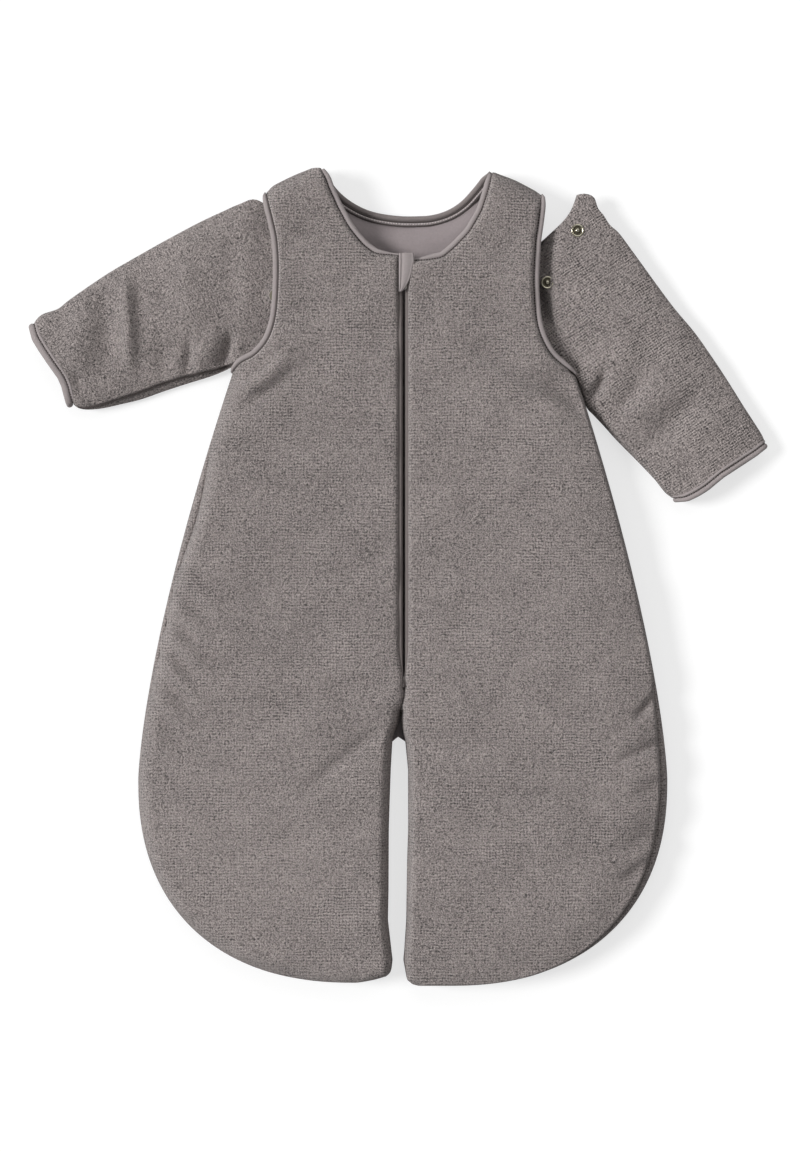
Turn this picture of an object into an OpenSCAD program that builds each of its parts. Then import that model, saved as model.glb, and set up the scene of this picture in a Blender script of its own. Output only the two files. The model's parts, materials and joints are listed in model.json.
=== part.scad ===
// Baby sleeping bag with separate legs, a centre front zip and sleeves that snap off.
// It lies on its back: X to the wearer's left, Y towards the neck, Z up, in millimetres.
// The origin is on the zip's line, half way along the bag, on the surface it lies on.

/* [Body outline] */
// Length from the shoulder points to the hem
bag_len = 700; // [660:5:760]
// Widest width, across both legs
hip_w = 453; // [420:1:500]
// Height of the widest level above the hem
hip_up = 176; // [150:1:200]
// Length of the legs, from the hem to the crotch
leg_len = 222; // [205:1:250]
// Width of the flat stretch of each hem, counted from the middle
hem_reach = 40; // [34:1:60]
// Squareness of the leg corners, 2 is a plain ellipse
hem_square = 2.3; // [1.8:0.1:3]
// Width at the underarm
underarm_w = 294; // [270:1:320]
// Bow of the side seam, 1 is straight
side_bow = 1.43; // [1.1:0.01:1.8]
// Narrowest width between the armholes
chest_w = 231; // [210:1:250]
// Width over the shoulder tips
shoulder_w = 240; // [230:1:260]
// Drop from the neck end of the shoulder seam to its tip
shoulder_drop = 23; // [16:1:32]
// Depth of the armhole, from the shoulder tip to the underarm
armhole_depth = 152; // [135:1:170]
// Depth of the narrowest chest level below the shoulder tip
chest_down = 55; // [40:1:75]

/* [Legs] */
// Width of the gap between the legs
slit_w = 16; // [10:1:24]
// Sideways lie of that gap off the zip's line
slit_shift = -4.5; // [-8:0.5:2]
// Height of the rounded top of the gap
slit_round = 14; // [10:1:24]
// Radius of the inner corner of each hem
inner_corner_r = 12; // [8:1:16]

/* [Neckline] */
// Half width of the neckline on the wearer's right
neck_half_right_arm = 72; // [64:1:80]
// Half width of the neckline on the wearer's left
neck_half_left_arm = 79; // [70:1:84]
// Roundness of the front neckline on the wearer's right
neck_round_right_arm = 2.7; // [2:0.1:4]
// Roundness of the front neckline on the wearer's left
neck_round_left_arm = 4.4; // [3:0.1:6]
// Depth of the front neckline below the shoulder points
neck_front_drop = 82; // [70:1:95]
// Depth of the back neckline below the shoulder points
neck_back_drop = 47; // [35:1:60]
// Roundness of the back neckline
neck_back_round = 3; // [2:0.1:4]
// Flat length of each shoulder point
shoulder_point = 8; // [5:1:12]

/* [Layers] */
// Thickness of the plush shell cloth
shell_t = 2.2; // [1.4:0.1:3]
// Thickness of the lining cloth
lining_t = 1.2; // [0.8:0.1:1.6]
// Thickness of the padded front, all layers
front_pad = 10; // [8:0.5:14]
// Thickness of the padded back, all layers
back_pad = 10; // [8:0.5:14]
// Height of the room between front and back
room_h = 20; // [18:0.5:30]
// Height of the closed seams above the surface
seam_z = 18; // [15:0.5:20]
// Thickness of each panel where it is sewn shut
edge_t = 2.4; // [1.8:0.1:3]
// Distance over which a panel swells from a closed seam
crown_r = 55; // [40:1:70]
// Distance over which the front swells from the crotch
crotch_crown_r = 15; // [12:1:16]

/* [Bindings] */
// Width of the jersey binding, seen from above
bind_w = 6.3; // [5:0.1:8]
// Height of the binding's rolled section
bind_h = 4.6; // [4.2:0.1:6]
// Distance over which an armhole binding runs out at its ends
bind_taper = 14; // [10:1:20]

/* [Zip] */
// Width of the groove in which the zip shows
groove_w = 6.6; // [6:0.1:8]
// Gap from the crotch up to the zip's lower end
zip_crotch_gap = 31; // [22:1:40]
// Length of the zip's lower end, below the fold-back fronts
zip_end_len = 137; // [125:1:150]
// Thickness of the zip tape
tape_t = 0.7; // [0.5:0.1:1]
// Width of tape sewn in between shell and lining
tape_tuck = 6; // [4:0.5:9]
// Diameter of the nylon coil
coil_d = 2.2; // [1.8:0.1:2.4]
// Gap between the two coils
coil_gap = 1.6; // [1.5:0.1:1.9]
// Length of the slider
slider_len = 10.5; // [9:0.5:12]
// Thickness of the slider's plates
slider_t = 1; // [0.8:0.1:1.2]
// Width of the slider's dividing post
post_w = 1; // [0.8:0.1:1]
// Diameter of the pull tab's pin
pin_d = 1.6; // [1.2:0.1:1.8]
// Length of the pull tab, from its pin
pull_len = 19; // [14:1:22]
// Width of the pull tab
pull_w = 5.2; // [4.8:0.1:5.4]
// Thickness of the pull tab
pull_t = 1.3; // [1:0.1:1.4]

/* [Chin guard] */
// Length of the guard along the zip
guard_len = 34; // [28:1:40]
// Width of the guard at its top
guard_w = 14.6; // [12:0.1:18]
// Thickness of the guard
guard_t = 1.4; // [1:0.1:2]

/* [Fold lines] */
// Depth below the shoulder points at which each front fold starts
fold_down = 28; // [24:1:36]
// Width of each fold-back front at its lower end
fold_low_w = 22; // [20:0.5:28]

/* [Sleeves] */
// Height of the sleeve head inside the armhole
sleeve_head_h = 13; // [12.6:0.1:14]
// Height of the sleeve between armhole and cuff
sleeve_mid_h = 24; // [20:0.5:28]
// Thickness of the sleeve's padding
sleeve_fill_t = 1.4; // [1:0.1:1.8]

/* [Snaps] */
// Diameter of the snap rings
snap_d = 10.5; // [9:0.5:12]
// Diameter of the stud's post
stud_d = 3.6; // [3:0.1:4.2]
// Height of the stud's post above its ring
stud_h = 1.2; // [1:0.1:1.5]
// Height of the socket
socket_h = 1.8; // [1.5:0.1:1.9]

/* [Hidden] */

// Each half is drawn at positive X. LEFT, the half at the left of the sheet, is then mirrored.
LEFT = 0;
RIGHT = 1;

// Round steps and clearances
$fn = 48;
seam_gap = 0.15;
fold_gap = 0.4;
run_gap = 0.3;
pin_gap = 0.05;
stop_gap = 0.4;

// Slider: its distance from the ends of its travel, and its pin's distance from its upper end
slider_rest = 1.5;
pin_back = 2.4;

// Levels
y_top = bag_len / 2;
y_hem = -bag_len / 2;
y_hip = y_hem + hip_up;
y_crotch = y_hem + leg_len;
y_shoulder = y_top - shoulder_drop;
y_underarm = y_shoulder - armhole_depth;
y_chest = y_shoulder - chest_down;
y_neck_front = y_top - neck_front_drop;
y_neck_back = y_top - neck_back_drop;
y_zip_end = y_crotch + zip_crotch_gap;
y_flap = y_zip_end + zip_end_len;
y_meet = y_top - fold_down;
y_slider = y_neck_front - slider_len - slider_rest;
y_slider_low = y_zip_end + pull_len - slider_len + pin_back + slider_rest;

// Heights
z_room_top = back_pad + room_h;
z_front_top = z_room_top + front_pad;
z_tape = z_room_top + front_pad / 2;
pinch_t = shell_t + tape_t + lining_t;
z_zip_edge = z_tape + pinch_t / 2 + (shell_t - lining_t) / 2;

// Colours
taupe = [0.55, 0.51, 0.49];
binding_taupe = [0.63, 0.58, 0.57];
lining_taupe = [0.66, 0.60, 0.59];
wadding_white = [0.93, 0.93, 0.90];
tape_taupe = [0.50, 0.46, 0.45];
metal = [0.72, 0.69, 0.58];

// Plain helpers
function clamp01(v) = max(0, min(1, v));
function lerp(a, b, t) = a + (b - a) * t;
function unit(v) = v / max(norm(v), 1e-9);

// Swell of a padded cloth at a share t of its crown distance
function swell(t) = sqrt(1 - pow(1 - clamp01(t), 2));

// Outline of one half, as the X of its edges at a level y
function side_x(y) = y > y_hip
    ? lerp(hip_w, underarm_w, pow((y - y_hip) / (y_underarm - y_hip), side_bow)) / 2
    : lerp(hem_reach, hip_w / 2,
           pow(max(0, 1 - pow((y_hip - y) / (y_hip - y_hem), hem_square)), 1 / hem_square));
armhole_round = 2.4;
function armhole_x(y) = y > y_chest
    ? lerp(chest_w, shoulder_w, pow((y - y_chest) / (y_shoulder - y_chest), 2)) / 2
    : lerp(chest_w, underarm_w, pow((y_chest - y) / (y_chest - y_underarm), armhole_round)) / 2;
bind_end = 0.12;
function bind_share(y) =
    lerp(bind_end, 1, swell(min(y_shoulder - y, y - y_underarm) / bind_taper));
function shoulder_x(y, half) =
    lerp(shoulder_w / 2, neck_half(half) + shoulder_point, (y - y_shoulder) / (y_top - y_shoulder));
function out_x(y, half) = y >= y_shoulder ? shoulder_x(y, half)
    : y > y_underarm ? armhole_x(y) - bind_w * bind_share(y)
    : side_x(y);
function neck_half(half) = half == LEFT ? neck_half_right_arm : neck_half_left_arm;
function neck_round(half) = half == LEFT ? neck_round_right_arm : neck_round_left_arm;
function neck_front_x(y, half) = max(groove_w / 2,
    neck_half(half) * pow(max(0, y - y_neck_front) / neck_front_drop, 1 / neck_round(half)));
function neck_back_x(y, half) =
    neck_half(half) * pow(max(0, y - y_neck_back) / neck_back_drop, 1 / neck_back_round);
function slit_x(half) = slit_w / 2 + (half == LEFT ? -slit_shift : slit_shift);
function leg_in_x(y, half) =
    slit_x(half) * sqrt(clamp01((y_crotch - y) / slit_round))
    + inner_corner_r * (1 - swell(1 - clamp01((y_hem + inner_corner_r - y) / inner_corner_r)));
function fold_x(y, half) = lerp(groove_w / 2 + fold_low_w, neck_front_x(y_meet, half),
    (y - y_flap) / (y_meet - y_flap));
function front_in_x(y, half) = y <= y_crotch ? leg_in_x(y, half)
    : y < y_zip_end ? seam_gap
    : y < y_flap ? groove_w / 2
    : y < y_meet ? fold_x(y, half) + fold_gap / 2
    : neck_front_x(y, half);
function flap_in_x(y, half) = y <= y_neck_front ? groove_w / 2 : neck_front_x(y, half);
function flap_out_x(y, half) = fold_x(y, half) - fold_gap / 2;
function back_in_x(y, half) = y < y_crotch ? leg_in_x(y, half)
    : y <= y_neck_back ? 0
    : neck_back_x(y, half);

// Closed seams of one half, as stretches [from, to, crown distance]
function stretches(points, radii) =
    [for (i = [0 : len(points) - 2]) [points[i], points[i + 1], (radii[i] + radii[i + 1]) / 2]];
function seams(half) = let (
        steps = 12,
        shoulder = [[shoulder_x(y_top, half), y_top], [shoulder_w / 2, y_shoulder]],
        side = [for (i = [0 : steps]) let (y = lerp(y_hem, y_underarm, 1 - cos(90 * i / steps)))
                [side_x(y), y]],
        legs = [for (i = [0 : steps / 2]) let (y = lerp(y_hem, y_crotch, i * 2 / steps))
                [leg_in_x(y, half), y]],
        leg_radii = [for (i = [0 : steps / 2]) lerp(crown_r, crotch_crown_r, pow(i * 2 / steps, 2))]
    ) concat(
        stretches(shoulder, [crown_r, crown_r]),
        stretches(side, [for (p = side) crown_r]),
        stretches([side[0], legs[0]], [crown_r, crown_r]),
        stretches(legs, leg_radii));
function distance(p, a, b) = let (t = clamp01((p - a) * (b - a) / max((b - a) * (b - a), 1e-9)))
    norm(p - a - (b - a) * t);
function crown(p, seam_list) = min([for (s = seam_list) swell(distance(p, s[0], s[1]) / s[2])]);

// Heights of the four faces of a panel's three layers: outer, shell to wadding, wadding to lining, inner
function pinched(outer, inner) = let (
        up = outer > inner ? 1 : -1,
        thick = min(abs(outer - inner), pinch_t),
        middle = (outer + inner) / 2,
        share = thick / pinch_t,
        slot = tape_t * share / 2
    ) [middle + up * (slot + shell_t * share), middle + up * slot,
       middle - up * slot, middle - up * (slot + lining_t * share)];
shell_share = 0.4;
lining_share = 0.3;
function layered(outer, inner) = let (
        up = outer > inner ? 1 : -1,
        thick = abs(outer - inner)
    ) [outer, outer - up * min(shell_t, shell_share * thick),
       inner + up * min(lining_t, lining_share * thick), inner];
function front_faces(c, open) = let (
        outer = lerp(seam_z + edge_t, z_front_top, c),
        inner = lerp(seam_z, z_room_top, c)
    ) open ? pinched(outer, inner) : layered(outer, inner);
function back_faces(c, open) = let (
        outer = lerp(seam_z - edge_t, 0, c),
        inner = lerp(seam_z, back_pad, c)
    ) open ? pinched(outer, inner) : layered(outer, inner);

// Columns of a row: closer together near both edges, where a panel swells or thins.
// A row narrower than full_row_w draws them in.
side_inset = [0, tape_tuck, 18];
seam_inset = [36, 16, 5, 0];
full_row_w = 110;
function columns(x0, x1) = let (w = x1 - x0, k = min(1, w / full_row_w)) concat(
    [for (d = side_inset) x0 + d * k],
    [(x0 + side_inset[2] * k + x1 - seam_inset[0] * k) / 2],
    [for (d = seam_inset) x1 - d * k]);
flap_tuck_share = 0.4;
function flap_columns(x0, x1) = let (tuck = x0 + min(tape_tuck, flap_tuck_share * (x1 - x0)))
    [x0, tuck, (tuck + x1) / 2, x1];

// Rows of a panel, from the hem up. Rows at a step in the outline lie row_eps to each side of it.
row_eps = 0.2;
row_apart = 3;
leg_steps = 7;
function spread(a, b, steps) = [for (i = [0 : steps - 1]) lerp(a, b, i / steps)];
function apart(rows, y) = [for (r = rows) if (abs(r - y) > row_apart) r];
leg_rows = [for (i = [0 : leg_steps]) lerp(y_hem, y_crotch - slit_round, 1 - cos(90 * i / leg_steps))];
slit_rows = [for (share = [0.4, 0.1, 0]) y_crotch - slit_round * share];
taper_step = 0.3;
armhole_rows = concat([y_underarm, y_underarm + bind_taper * taper_step],
    spread(y_underarm + bind_taper, y_chest, 3), spread(y_chest, y_shoulder - bind_taper, 2),
    [y_shoulder - bind_taper, y_shoulder - bind_taper * taper_step]);
shoulder_rows = [y_shoulder, (y_shoulder + y_top) / 2, y_top];
front_rows = concat(leg_rows, slit_rows, [y_zip_end - row_eps],
    spread(y_zip_end + row_eps, y_flap - row_eps, 4), [y_flap - row_eps],
    spread(y_flap + row_eps, y_underarm, 4), apart(armhole_rows, y_meet), [y_meet], shoulder_rows);
neck_back_step = 1.5;
back_rows = concat(leg_rows, slit_rows, spread(y_crotch, y_underarm, 8),
    apart(armhole_rows, y_neck_back), [y_neck_back, y_neck_back + neck_back_step], shoulder_rows);
flap_top = y_meet - row_apart;
neck_steps = [0, 1, 5];
neck_bend = 14;
flap_rows = concat(spread(y_flap + row_eps, y_neck_front, 6), [for (d = neck_steps) y_neck_front + d],
    spread(y_neck_front + neck_bend, flap_top, 3), [flap_top]);
function sorted(v) = len(v) <= 1 ? v : let (p = v[floor(len(v) / 2)]) concat(
    sorted([for (a = v) if (a < p) a]), [p], sorted([for (a = v) if (a > p) a]));

// A panel as rows of points [x, y, four heights]
function front_grid(half) = let (s = seams(half)) [for (y = sorted(front_rows))
    let (x0 = front_in_x(y, half), x1 = out_x(y, half), xs = columns(x0, x1), last = len(xs) - 1,
         zip = y > y_zip_end && y < y_flap || y >= y_meet, arm = y > y_underarm && y < y_shoulder)
    [for (j = [0 : last]) concat([xs[j], y],
        front_faces(crown([xs[j], y], s), zip && j <= 1 || arm && j >= last - 1))]];
function flap_grid(half) = let (s = seams(half)) [for (y = sorted(flap_rows))
    let (x0 = flap_in_x(y, half), x1 = flap_out_x(y, half), xs = flap_columns(x0, x1))
    [for (j = [0 : len(xs) - 1]) concat([xs[j], y],
        front_faces(crown([xs[j <= 1 ? 0 : j], y], s), j <= 1))]];
function back_grid(half) = let (s = seams(half)) [for (y = sorted(back_rows))
    let (x0 = back_in_x(y, half), x1 = out_x(y, half), xs = columns(x0, x1), last = len(xs) - 1,
         neck = y > y_neck_back, arm = y > y_underarm && y < y_shoulder)
    [for (j = [0 : last]) concat([xs[j], y],
        back_faces(crown([xs[j], y], s), neck && j <= 1 || arm && j >= last - 1))]];

// Two triangles for each square of corners a, b, c, d
function split(a, b, c, d) = [[a, b, c], [a, c, d]];
function flat(lists) = [for (l = lists) each l];

// Faces of a slab over a grid. T and B number the upper and lower corners.
function sheet_faces(rows, cols, top) = flat([for (i = [0 : rows - 2], j = [0 : cols - 2]) let (
        a = [i, j], b = [i + 1, j], c = [i + 1, j + 1], d = [i, j + 1])
    top ? split(a, b, c, d) : [[a, c, b], [a, d, c]]]);

// Closed slab between two of a grid's faces, upper first
module slab(grid, upper, lower) {
    rows = len(grid);
    cols = len(grid[0]);
    count = rows * cols;
    points = concat([for (r = grid, p = r) [p.x, p.y, p[2 + upper]]],
                    [for (r = grid, p = r) [p.x, p.y, p[2 + lower]]]);
    over = [for (f = sheet_faces(rows, cols, true)) [for (v = f) v[0] * cols + v[1]]];
    under = [for (f = sheet_faces(rows, cols, false)) [for (v = f) count + v[0] * cols + v[1]]];
    rim = concat([for (i = [0 : rows - 1]) i * cols],
                 [for (j = [1 : cols - 1]) (rows - 1) * cols + j],
                 [for (i = [1 : rows - 1]) (rows - 1 - i) * cols + cols - 1],
                 [for (j = [1 : cols - 2]) cols - 1 - j]);
    polyhedron(points, concat(over, under, walls(rim, count)));
}
// Upright walls below a closed rim of corner numbers
function walls(rim, count) = flat([for (k = [0 : len(rim) - 1]) let (
        a = rim[k], b = rim[(k + 1) % len(rim)]) split(b, a, a + count, b + count)]);

// Closed slab of a whole back: two halves that share their middle line above the crotch
module back_slab(upper, lower) {
    left = back_grid(LEFT);
    right = back_grid(RIGHT);
    rows = len(right);
    cols = len(right[0]);
    half = rows * cols;
    count = 2 * half;
    corner = function (side, i, j)
        (side == LEFT || j == 0 && is_middle(right[i][0].y)) ? i * cols + j : half + i * cols + j;
    points = concat(
        [for (k = [upper, lower]) each concat(
            [for (r = left, p = r) [-p.x, p.y, p[2 + k]]],
            [for (r = right, p = r) [p.x, p.y, p[2 + k]]])]);
    faces = flat([for (side = [LEFT, RIGHT], top = [true, false]) [
        for (f = sheet_faces(rows, cols, top != (side == LEFT)))
            [for (v = f) corner(side, v[0], v[1]) + (top ? 0 : count)]]]);
    edges = flat([for (side = [LEFT, RIGHT]) let (
            inner = [for (i = [0 : rows - 2])
                if (!(is_middle(right[i][0].y) && is_middle(right[i + 1][0].y)))
                    [corner(side, i, 0), corner(side, i + 1, 0)]],
            outer = [for (i = [0 : rows - 2])
                [corner(side, i + 1, cols - 1), corner(side, i, cols - 1)]],
            hem = [for (j = [0 : cols - 2]) [corner(side, 0, j + 1), corner(side, 0, j)]],
            top = [for (j = [0 : cols - 2])
                [corner(side, rows - 1, j), corner(side, rows - 1, j + 1)]])
        [for (e = concat(inner, outer, hem, top)) side == RIGHT ? e : [e[1], e[0]]]]);
    rim = flat([for (e = edges) split(e[1], e[0], e[0] + count, e[1] + count)]);
    polyhedron(points, concat(faces, rim));
}
function is_middle(y) = y >= y_crotch && y <= y_neck_back;

// Mirrors a half to the left of the sheet where it belongs there
module on_side(half) {
    if (half == LEFT) mirror([1, 0, 0]) children();
    else children();
}

// Binding rolled round an open edge. Each edge point is [x, y, middle height, share of full width].
bind_section = [[0, -1], [0.5, -1], [0.86, -0.66], [1, 0], [0.86, 0.66], [0.5, 1], [0, 1]];
bind_puff = 0.2;
module binding(edge, outside) {
    rings = len(edge);
    sides = len(bind_section);
    points = [for (i = [0 : rings - 1]) let (
            before = edge[max(i - 1, 0)],
            after = edge[min(i + 1, rings - 1)],
            along = unit([after.x - before.x, after.y - before.y]),
            across = outside * [-along.y, along.x],
            p = edge[i])
        each [for (s = bind_section) [p.x + across.x * s.x * bind_w * p[3],
                                      p.y + across.y * s.x * bind_w * p[3],
                                      p.z + s.y * bind_h / 2 * min(1, p[3] + bind_puff)]]];
    skin = flat([for (i = [0 : rings - 2], k = [0 : sides - 1]) let (
            a = i * sides + k, b = i * sides + (k + 1) % sides)
        outside > 0 ? split(b, a, a + sides, b + sides) : split(a, b, b + sides, a + sides)]);
    start = [for (k = [1 : sides - 2]) outside > 0 ? [0, k, k + 1] : [0, k + 1, k]];
    last = (rings - 1) * sides;
    end = [for (f = start) [last + f[0], last + f[2], last + f[1]]];
    polyhedron(points, concat(skin, start, end));
}
function edge_point(p, share = 1) = [p.x, p.y, (p[2] + p[5]) / 2, share];
function armhole_edge(grid) = [for (r = grid) let (p = r[len(r) - 1])
    if (p.y > y_underarm && p.y < y_shoulder) edge_point(p, bind_share(p.y))];
bind_stop = 3;
function inner_edge(grid, from, to) = [for (r = grid) if (r[0].y > from && r[0].y < to) edge_point(r[0])];

// Sleeves, as four cross-sections: head, armhole, just outside and cuff end. Each has a top corner and a
// lower corner. The top ones are measured from the shoulder tip, the others from the underarm.
sleeve_tops = [[[-30, -30], [5, -12], [18, -5]], [[25, -5], [31, -1], [43, -3]]];
sleeve_lows = [[[-35, 27], [2, 11], [8, 4]], [[-23, 47], [3, 8], [9, -15]]];
sleeve_cuffs = [[[174, 44], [141, -29]], [[167, -65], [86, -111]]];
shoulder_tip = [shoulder_w / 2, y_shoulder];
underarm = [underarm_w / 2, y_underarm];
function sleeve_corners(half) = concat(
    [for (k = [0 : 2]) [shoulder_tip + sleeve_tops[half][k], underarm + sleeve_lows[half][k]]],
    [[for (p = sleeve_cuffs[half]) underarm + p]]);
// Bows of the head's edge and of the upper and lower edges between armhole and cuff
head_bow = [6, 29];
head_bow_power = 5;
top_bow = [3, 2];
low_bow = [-8, -8];
// Height of the sleeve's middle inside the armhole and at the cuff, and the shares over which it swells
z_head = back_pad + room_h / 2 - 1;
z_cuff = sleeve_mid_h / 2 + 0.6;
rise_share = 0.4;
settle_share = 0.625;
outer_len = 170;
cuff_share = bind_w / outer_len;
sleeve_steps = [0, 1, 2, 2.16, 2.34, 2.55, 2.78, 3 - cuff_share, 3];
function sleeve_axis(half) = let (c = sleeve_corners(half))
    unit((c[3][0] + c[3][1]) / 2 - (c[1][0] + c[1][1]) / 2);
function sleeve_section(half, s) = let (
        c = sleeve_corners(half),
        k = min(2, floor(s)),
        u = s - k,
        bulge = k == 2 ? 4 * u * (1 - u) : 0,
        along = sleeve_axis(half),
        across = [-along.y, along.x],
        top = lerp(c[k][0], c[k + 1][0], u) + across * top_bow[half] * bulge,
        low = lerp(c[k][1], c[k + 1][1], u) + across * low_bow[half] * bulge,
        bow = k == 0 ? head_bow[half] * (1 - u) : 0,
        high = k < 2 ? sleeve_head_h + s : lerp(sleeve_head_h + k, sleeve_mid_h, swell(u / rise_share)),
        middle = k < 2 ? z_head : lerp(z_head, z_cuff, swell(u / settle_share)))
    [top, low, bow, high / 2, middle];
// Point on a sleeve's surface: s along it, angle round it from the top edge, inset below the outer face
function sleeve_point(half, s, angle, inset) = let (
        r = sleeve_section(half, s),
        wide = norm(r[0] - r[1]) / 2,
        centre = (r[0] + r[1]) / 2,
        out = (r[0] - r[1]) / 2 * (wide - inset) / wide,
        flat_p = centre + out * cos(angle) - [r[2] * pow(abs(sin(angle)), head_bow_power), 0])
    [flat_p.x, flat_p.y, r[4] + (r[3] - inset) * sin(angle)];
sleeve_sides = 14;
module sleeve_layer(half, steps, inset_out, inset_in) {
    rings = len(steps);
    n = sleeve_sides;
    count = rings * n;
    points = [for (inset = [inset_out, inset_in], s = steps, k = [0 : n - 1])
        sleeve_point(half, s, 360 * k / n, inset)];
    outer = flat([for (i = [0 : rings - 2], k = [0 : n - 1]) let (a = i * n + k, b = i * n + (k + 1) % n)
        split(b, a, a + n, b + n)]);
    inner = [for (f = outer) [for (v = [f[0], f[2], f[1]]) v + count]];
    ends = flat([for (k = [0 : n - 1]) let (a = k, b = (k + 1) % n, z = (rings - 1) * n)
        concat(split(a, b, b + count, a + count), split(b + z, a + z, a + z + count, b + z + count))]);
    polyhedron(points, concat(outer, inner, ends));
}
plain_steps = [for (s = sleeve_steps) if (s < 3) s];
cuff_steps = [3 - cuff_share, 3];
// Depths of the four faces of a sleeve's layers. Its cloths are thinner than the body's.
sleeve_shell_t = 0.6 * shell_t;
sleeve_lining_t = 0.7 * lining_t;
sleeve_in = sleeve_shell_t + sleeve_fill_t + sleeve_lining_t;
sleeve_cuts = [0, sleeve_shell_t, sleeve_shell_t + sleeve_fill_t, sleeve_in];

// Snaps: studs on the sleeve heads, [place along the sleeve, angle round it]
stud_places = [[[0.3, 50], [0.3, 100]], [[0.95, 54], [0.4, 102]]];
function snap_at(half, k) = sleeve_point(half, stud_places[half][k][0], stud_places[half][k][1], 0);

// Panels
module back_shell() color(taupe) back_slab(1, 0);
module back_wadding() color(wadding_white) back_slab(2, 1);
module back_lining() color(lining_taupe) back_slab(3, 2);
module front_layer(half, upper) on_side(half) slab(front_grid(half), upper, upper + 1);
module flap_layer(half, upper) on_side(half) slab(flap_grid(half), upper, upper + 1);
module front_shell(half) color(taupe) front_layer(half, 0);
module front_wadding(half) color(wadding_white) front_layer(half, 1);
module front_lining(half) color(lining_taupe) front_layer(half, 2);
module flap_shell(half) color(taupe) flap_layer(half, 0);
module flap_wadding(half) color(wadding_white) on_side(half)
    slab([for (r = flap_grid(half)) [for (j = [1 : len(r) - 1]) r[j]]], 1, 2);
module flap_lining(half) color(lining_taupe) flap_layer(half, 2);

// Bindings
module armhole_binding(half) color(binding_taupe) on_side(half) {
    binding(armhole_edge(front_grid(half)), -1);
    binding(armhole_edge(back_grid(half)), -1);
}
module neck_binding_back() color(binding_taupe) {
    for (half = [LEFT, RIGHT]) on_side(half)
        binding(inner_edge(front_grid(half), y_meet - row_eps, y_top - bind_stop), 1);
    left = inner_edge(back_grid(LEFT), y_neck_back, y_top - bind_stop);
    right = inner_edge(back_grid(RIGHT), y_neck_back - row_eps, y_top - bind_stop);
    binding(concat([for (p = reversed(left)) [-p.x, p.y, p.z, p[3]]], right), 1);
}
function reversed(list) = [for (i = [len(list) - 1 : -1 : 0]) list[i]];
module neck_binding(half) color(binding_taupe) on_side(half)
    binding(inner_edge(flap_grid(half), y_neck_front - row_eps, y_meet), 1);

// Zip: tapes with a coil below each one's edge, stops, slider and pull tab
web_in = coil_gap / 2 + 0.1;
web_top = y_slider - 2 * stop_gap;
function tuck_points(half) = [for (r = flap_grid(half)) if (r[0].y <= y_neck_front) [r[1].x, r[1].y]];
module tape_solid() translate([0, 0, z_tape - tape_t / 2]) linear_extrude(tape_t) children();
module zip_tape(half) color(tape_taupe) on_side(half) tape_solid() polygon(concat(
    [[web_in, y_flap + row_eps], [web_in, web_top], [groove_w / 2, web_top], [groove_w / 2, y_neck_front]],
    reversed(tuck_points(half))));
module zip_tape_end() color(tape_taupe) for (half = [LEFT, RIGHT]) on_side(half) tape_solid()
    translate([web_in, y_zip_end + row_eps]) square([groove_w / 2 - web_in, zip_end_len - 2 * row_eps]);
module coil_bar(y0, y1) translate([coil_gap / 2 + coil_d / 2, y0, z_tape - tape_t / 2 - coil_d / 2])
    rotate([-90, 0, 0]) cylinder(d = coil_d, h = y1 - y0);
module zip_coil(half) color(tape_taupe) on_side(half) coil_bar(y_flap + row_eps, web_top);
module zip_coil_end() color(tape_taupe) for (half = [LEFT, RIGHT]) on_side(half)
    coil_bar(y_slider_low - stop_gap, y_flap - row_eps);
stop_len = 3;
stop_w = 4.6;
top_stop = [1.5, 0.9];
module zip_stop(half) color(metal) on_side(half)
    translate([groove_w / 2 - top_stop.x, y_neck_front - top_stop.y - pin_gap, z_tape - coil_d / 2])
        cube([top_stop.x, top_stop.y, coil_d]);
module zip_stop_end() color(metal)
    translate([-stop_w / 2, y_slider_low - stop_gap - stop_len, z_tape - tape_t / 2 - coil_d])
        cube([stop_w, stop_len, coil_d]);
plate_half = groove_w / 2 - run_gap;
z_plate_top = z_tape + tape_t / 2 + run_gap;
z_plate_low = z_tape - tape_t / 2 - coil_d - run_gap;
z_pin = z_plate_top + slider_t + pull_t / 2 + stop_gap;
y_pin = y_slider + slider_len - pin_back;
ear_w = 0.8;
ear_in = 1.4;
post_len = 3;
post_back = 1;
module plate(z) translate([-plate_half, y_slider, z]) cube([2 * plate_half, slider_len, slider_t]);
module pin_bar(d, half_len) translate([-half_len, y_pin, z_pin]) rotate([0, 90, 0])
    cylinder(d = d, h = 2 * half_len);
module ear(x) {
    foot = z_plate_top + slider_t / 2;
    translate([x, y_pin - pin_d, foot]) cube([ear_w, 2 * pin_d, z_pin - foot]);
    translate([x, y_pin, z_pin]) rotate([0, 90, 0]) cylinder(d = 2 * pin_d, h = ear_w);
}
module zip_slider() color(metal) difference() {
    union() {
        plate(z_plate_top);
        plate(z_plate_low - slider_t);
        translate([-post_w / 2, y_slider + slider_len - post_back - post_len, z_plate_low - slider_t / 2])
            cube([post_w, post_len, z_plate_top - z_plate_low + slider_t]);
        ear(-ear_in - ear_w);
        ear(ear_in);
    }
    pin_bar(pin_d + 2 * pin_gap, groove_w);
}
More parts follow.
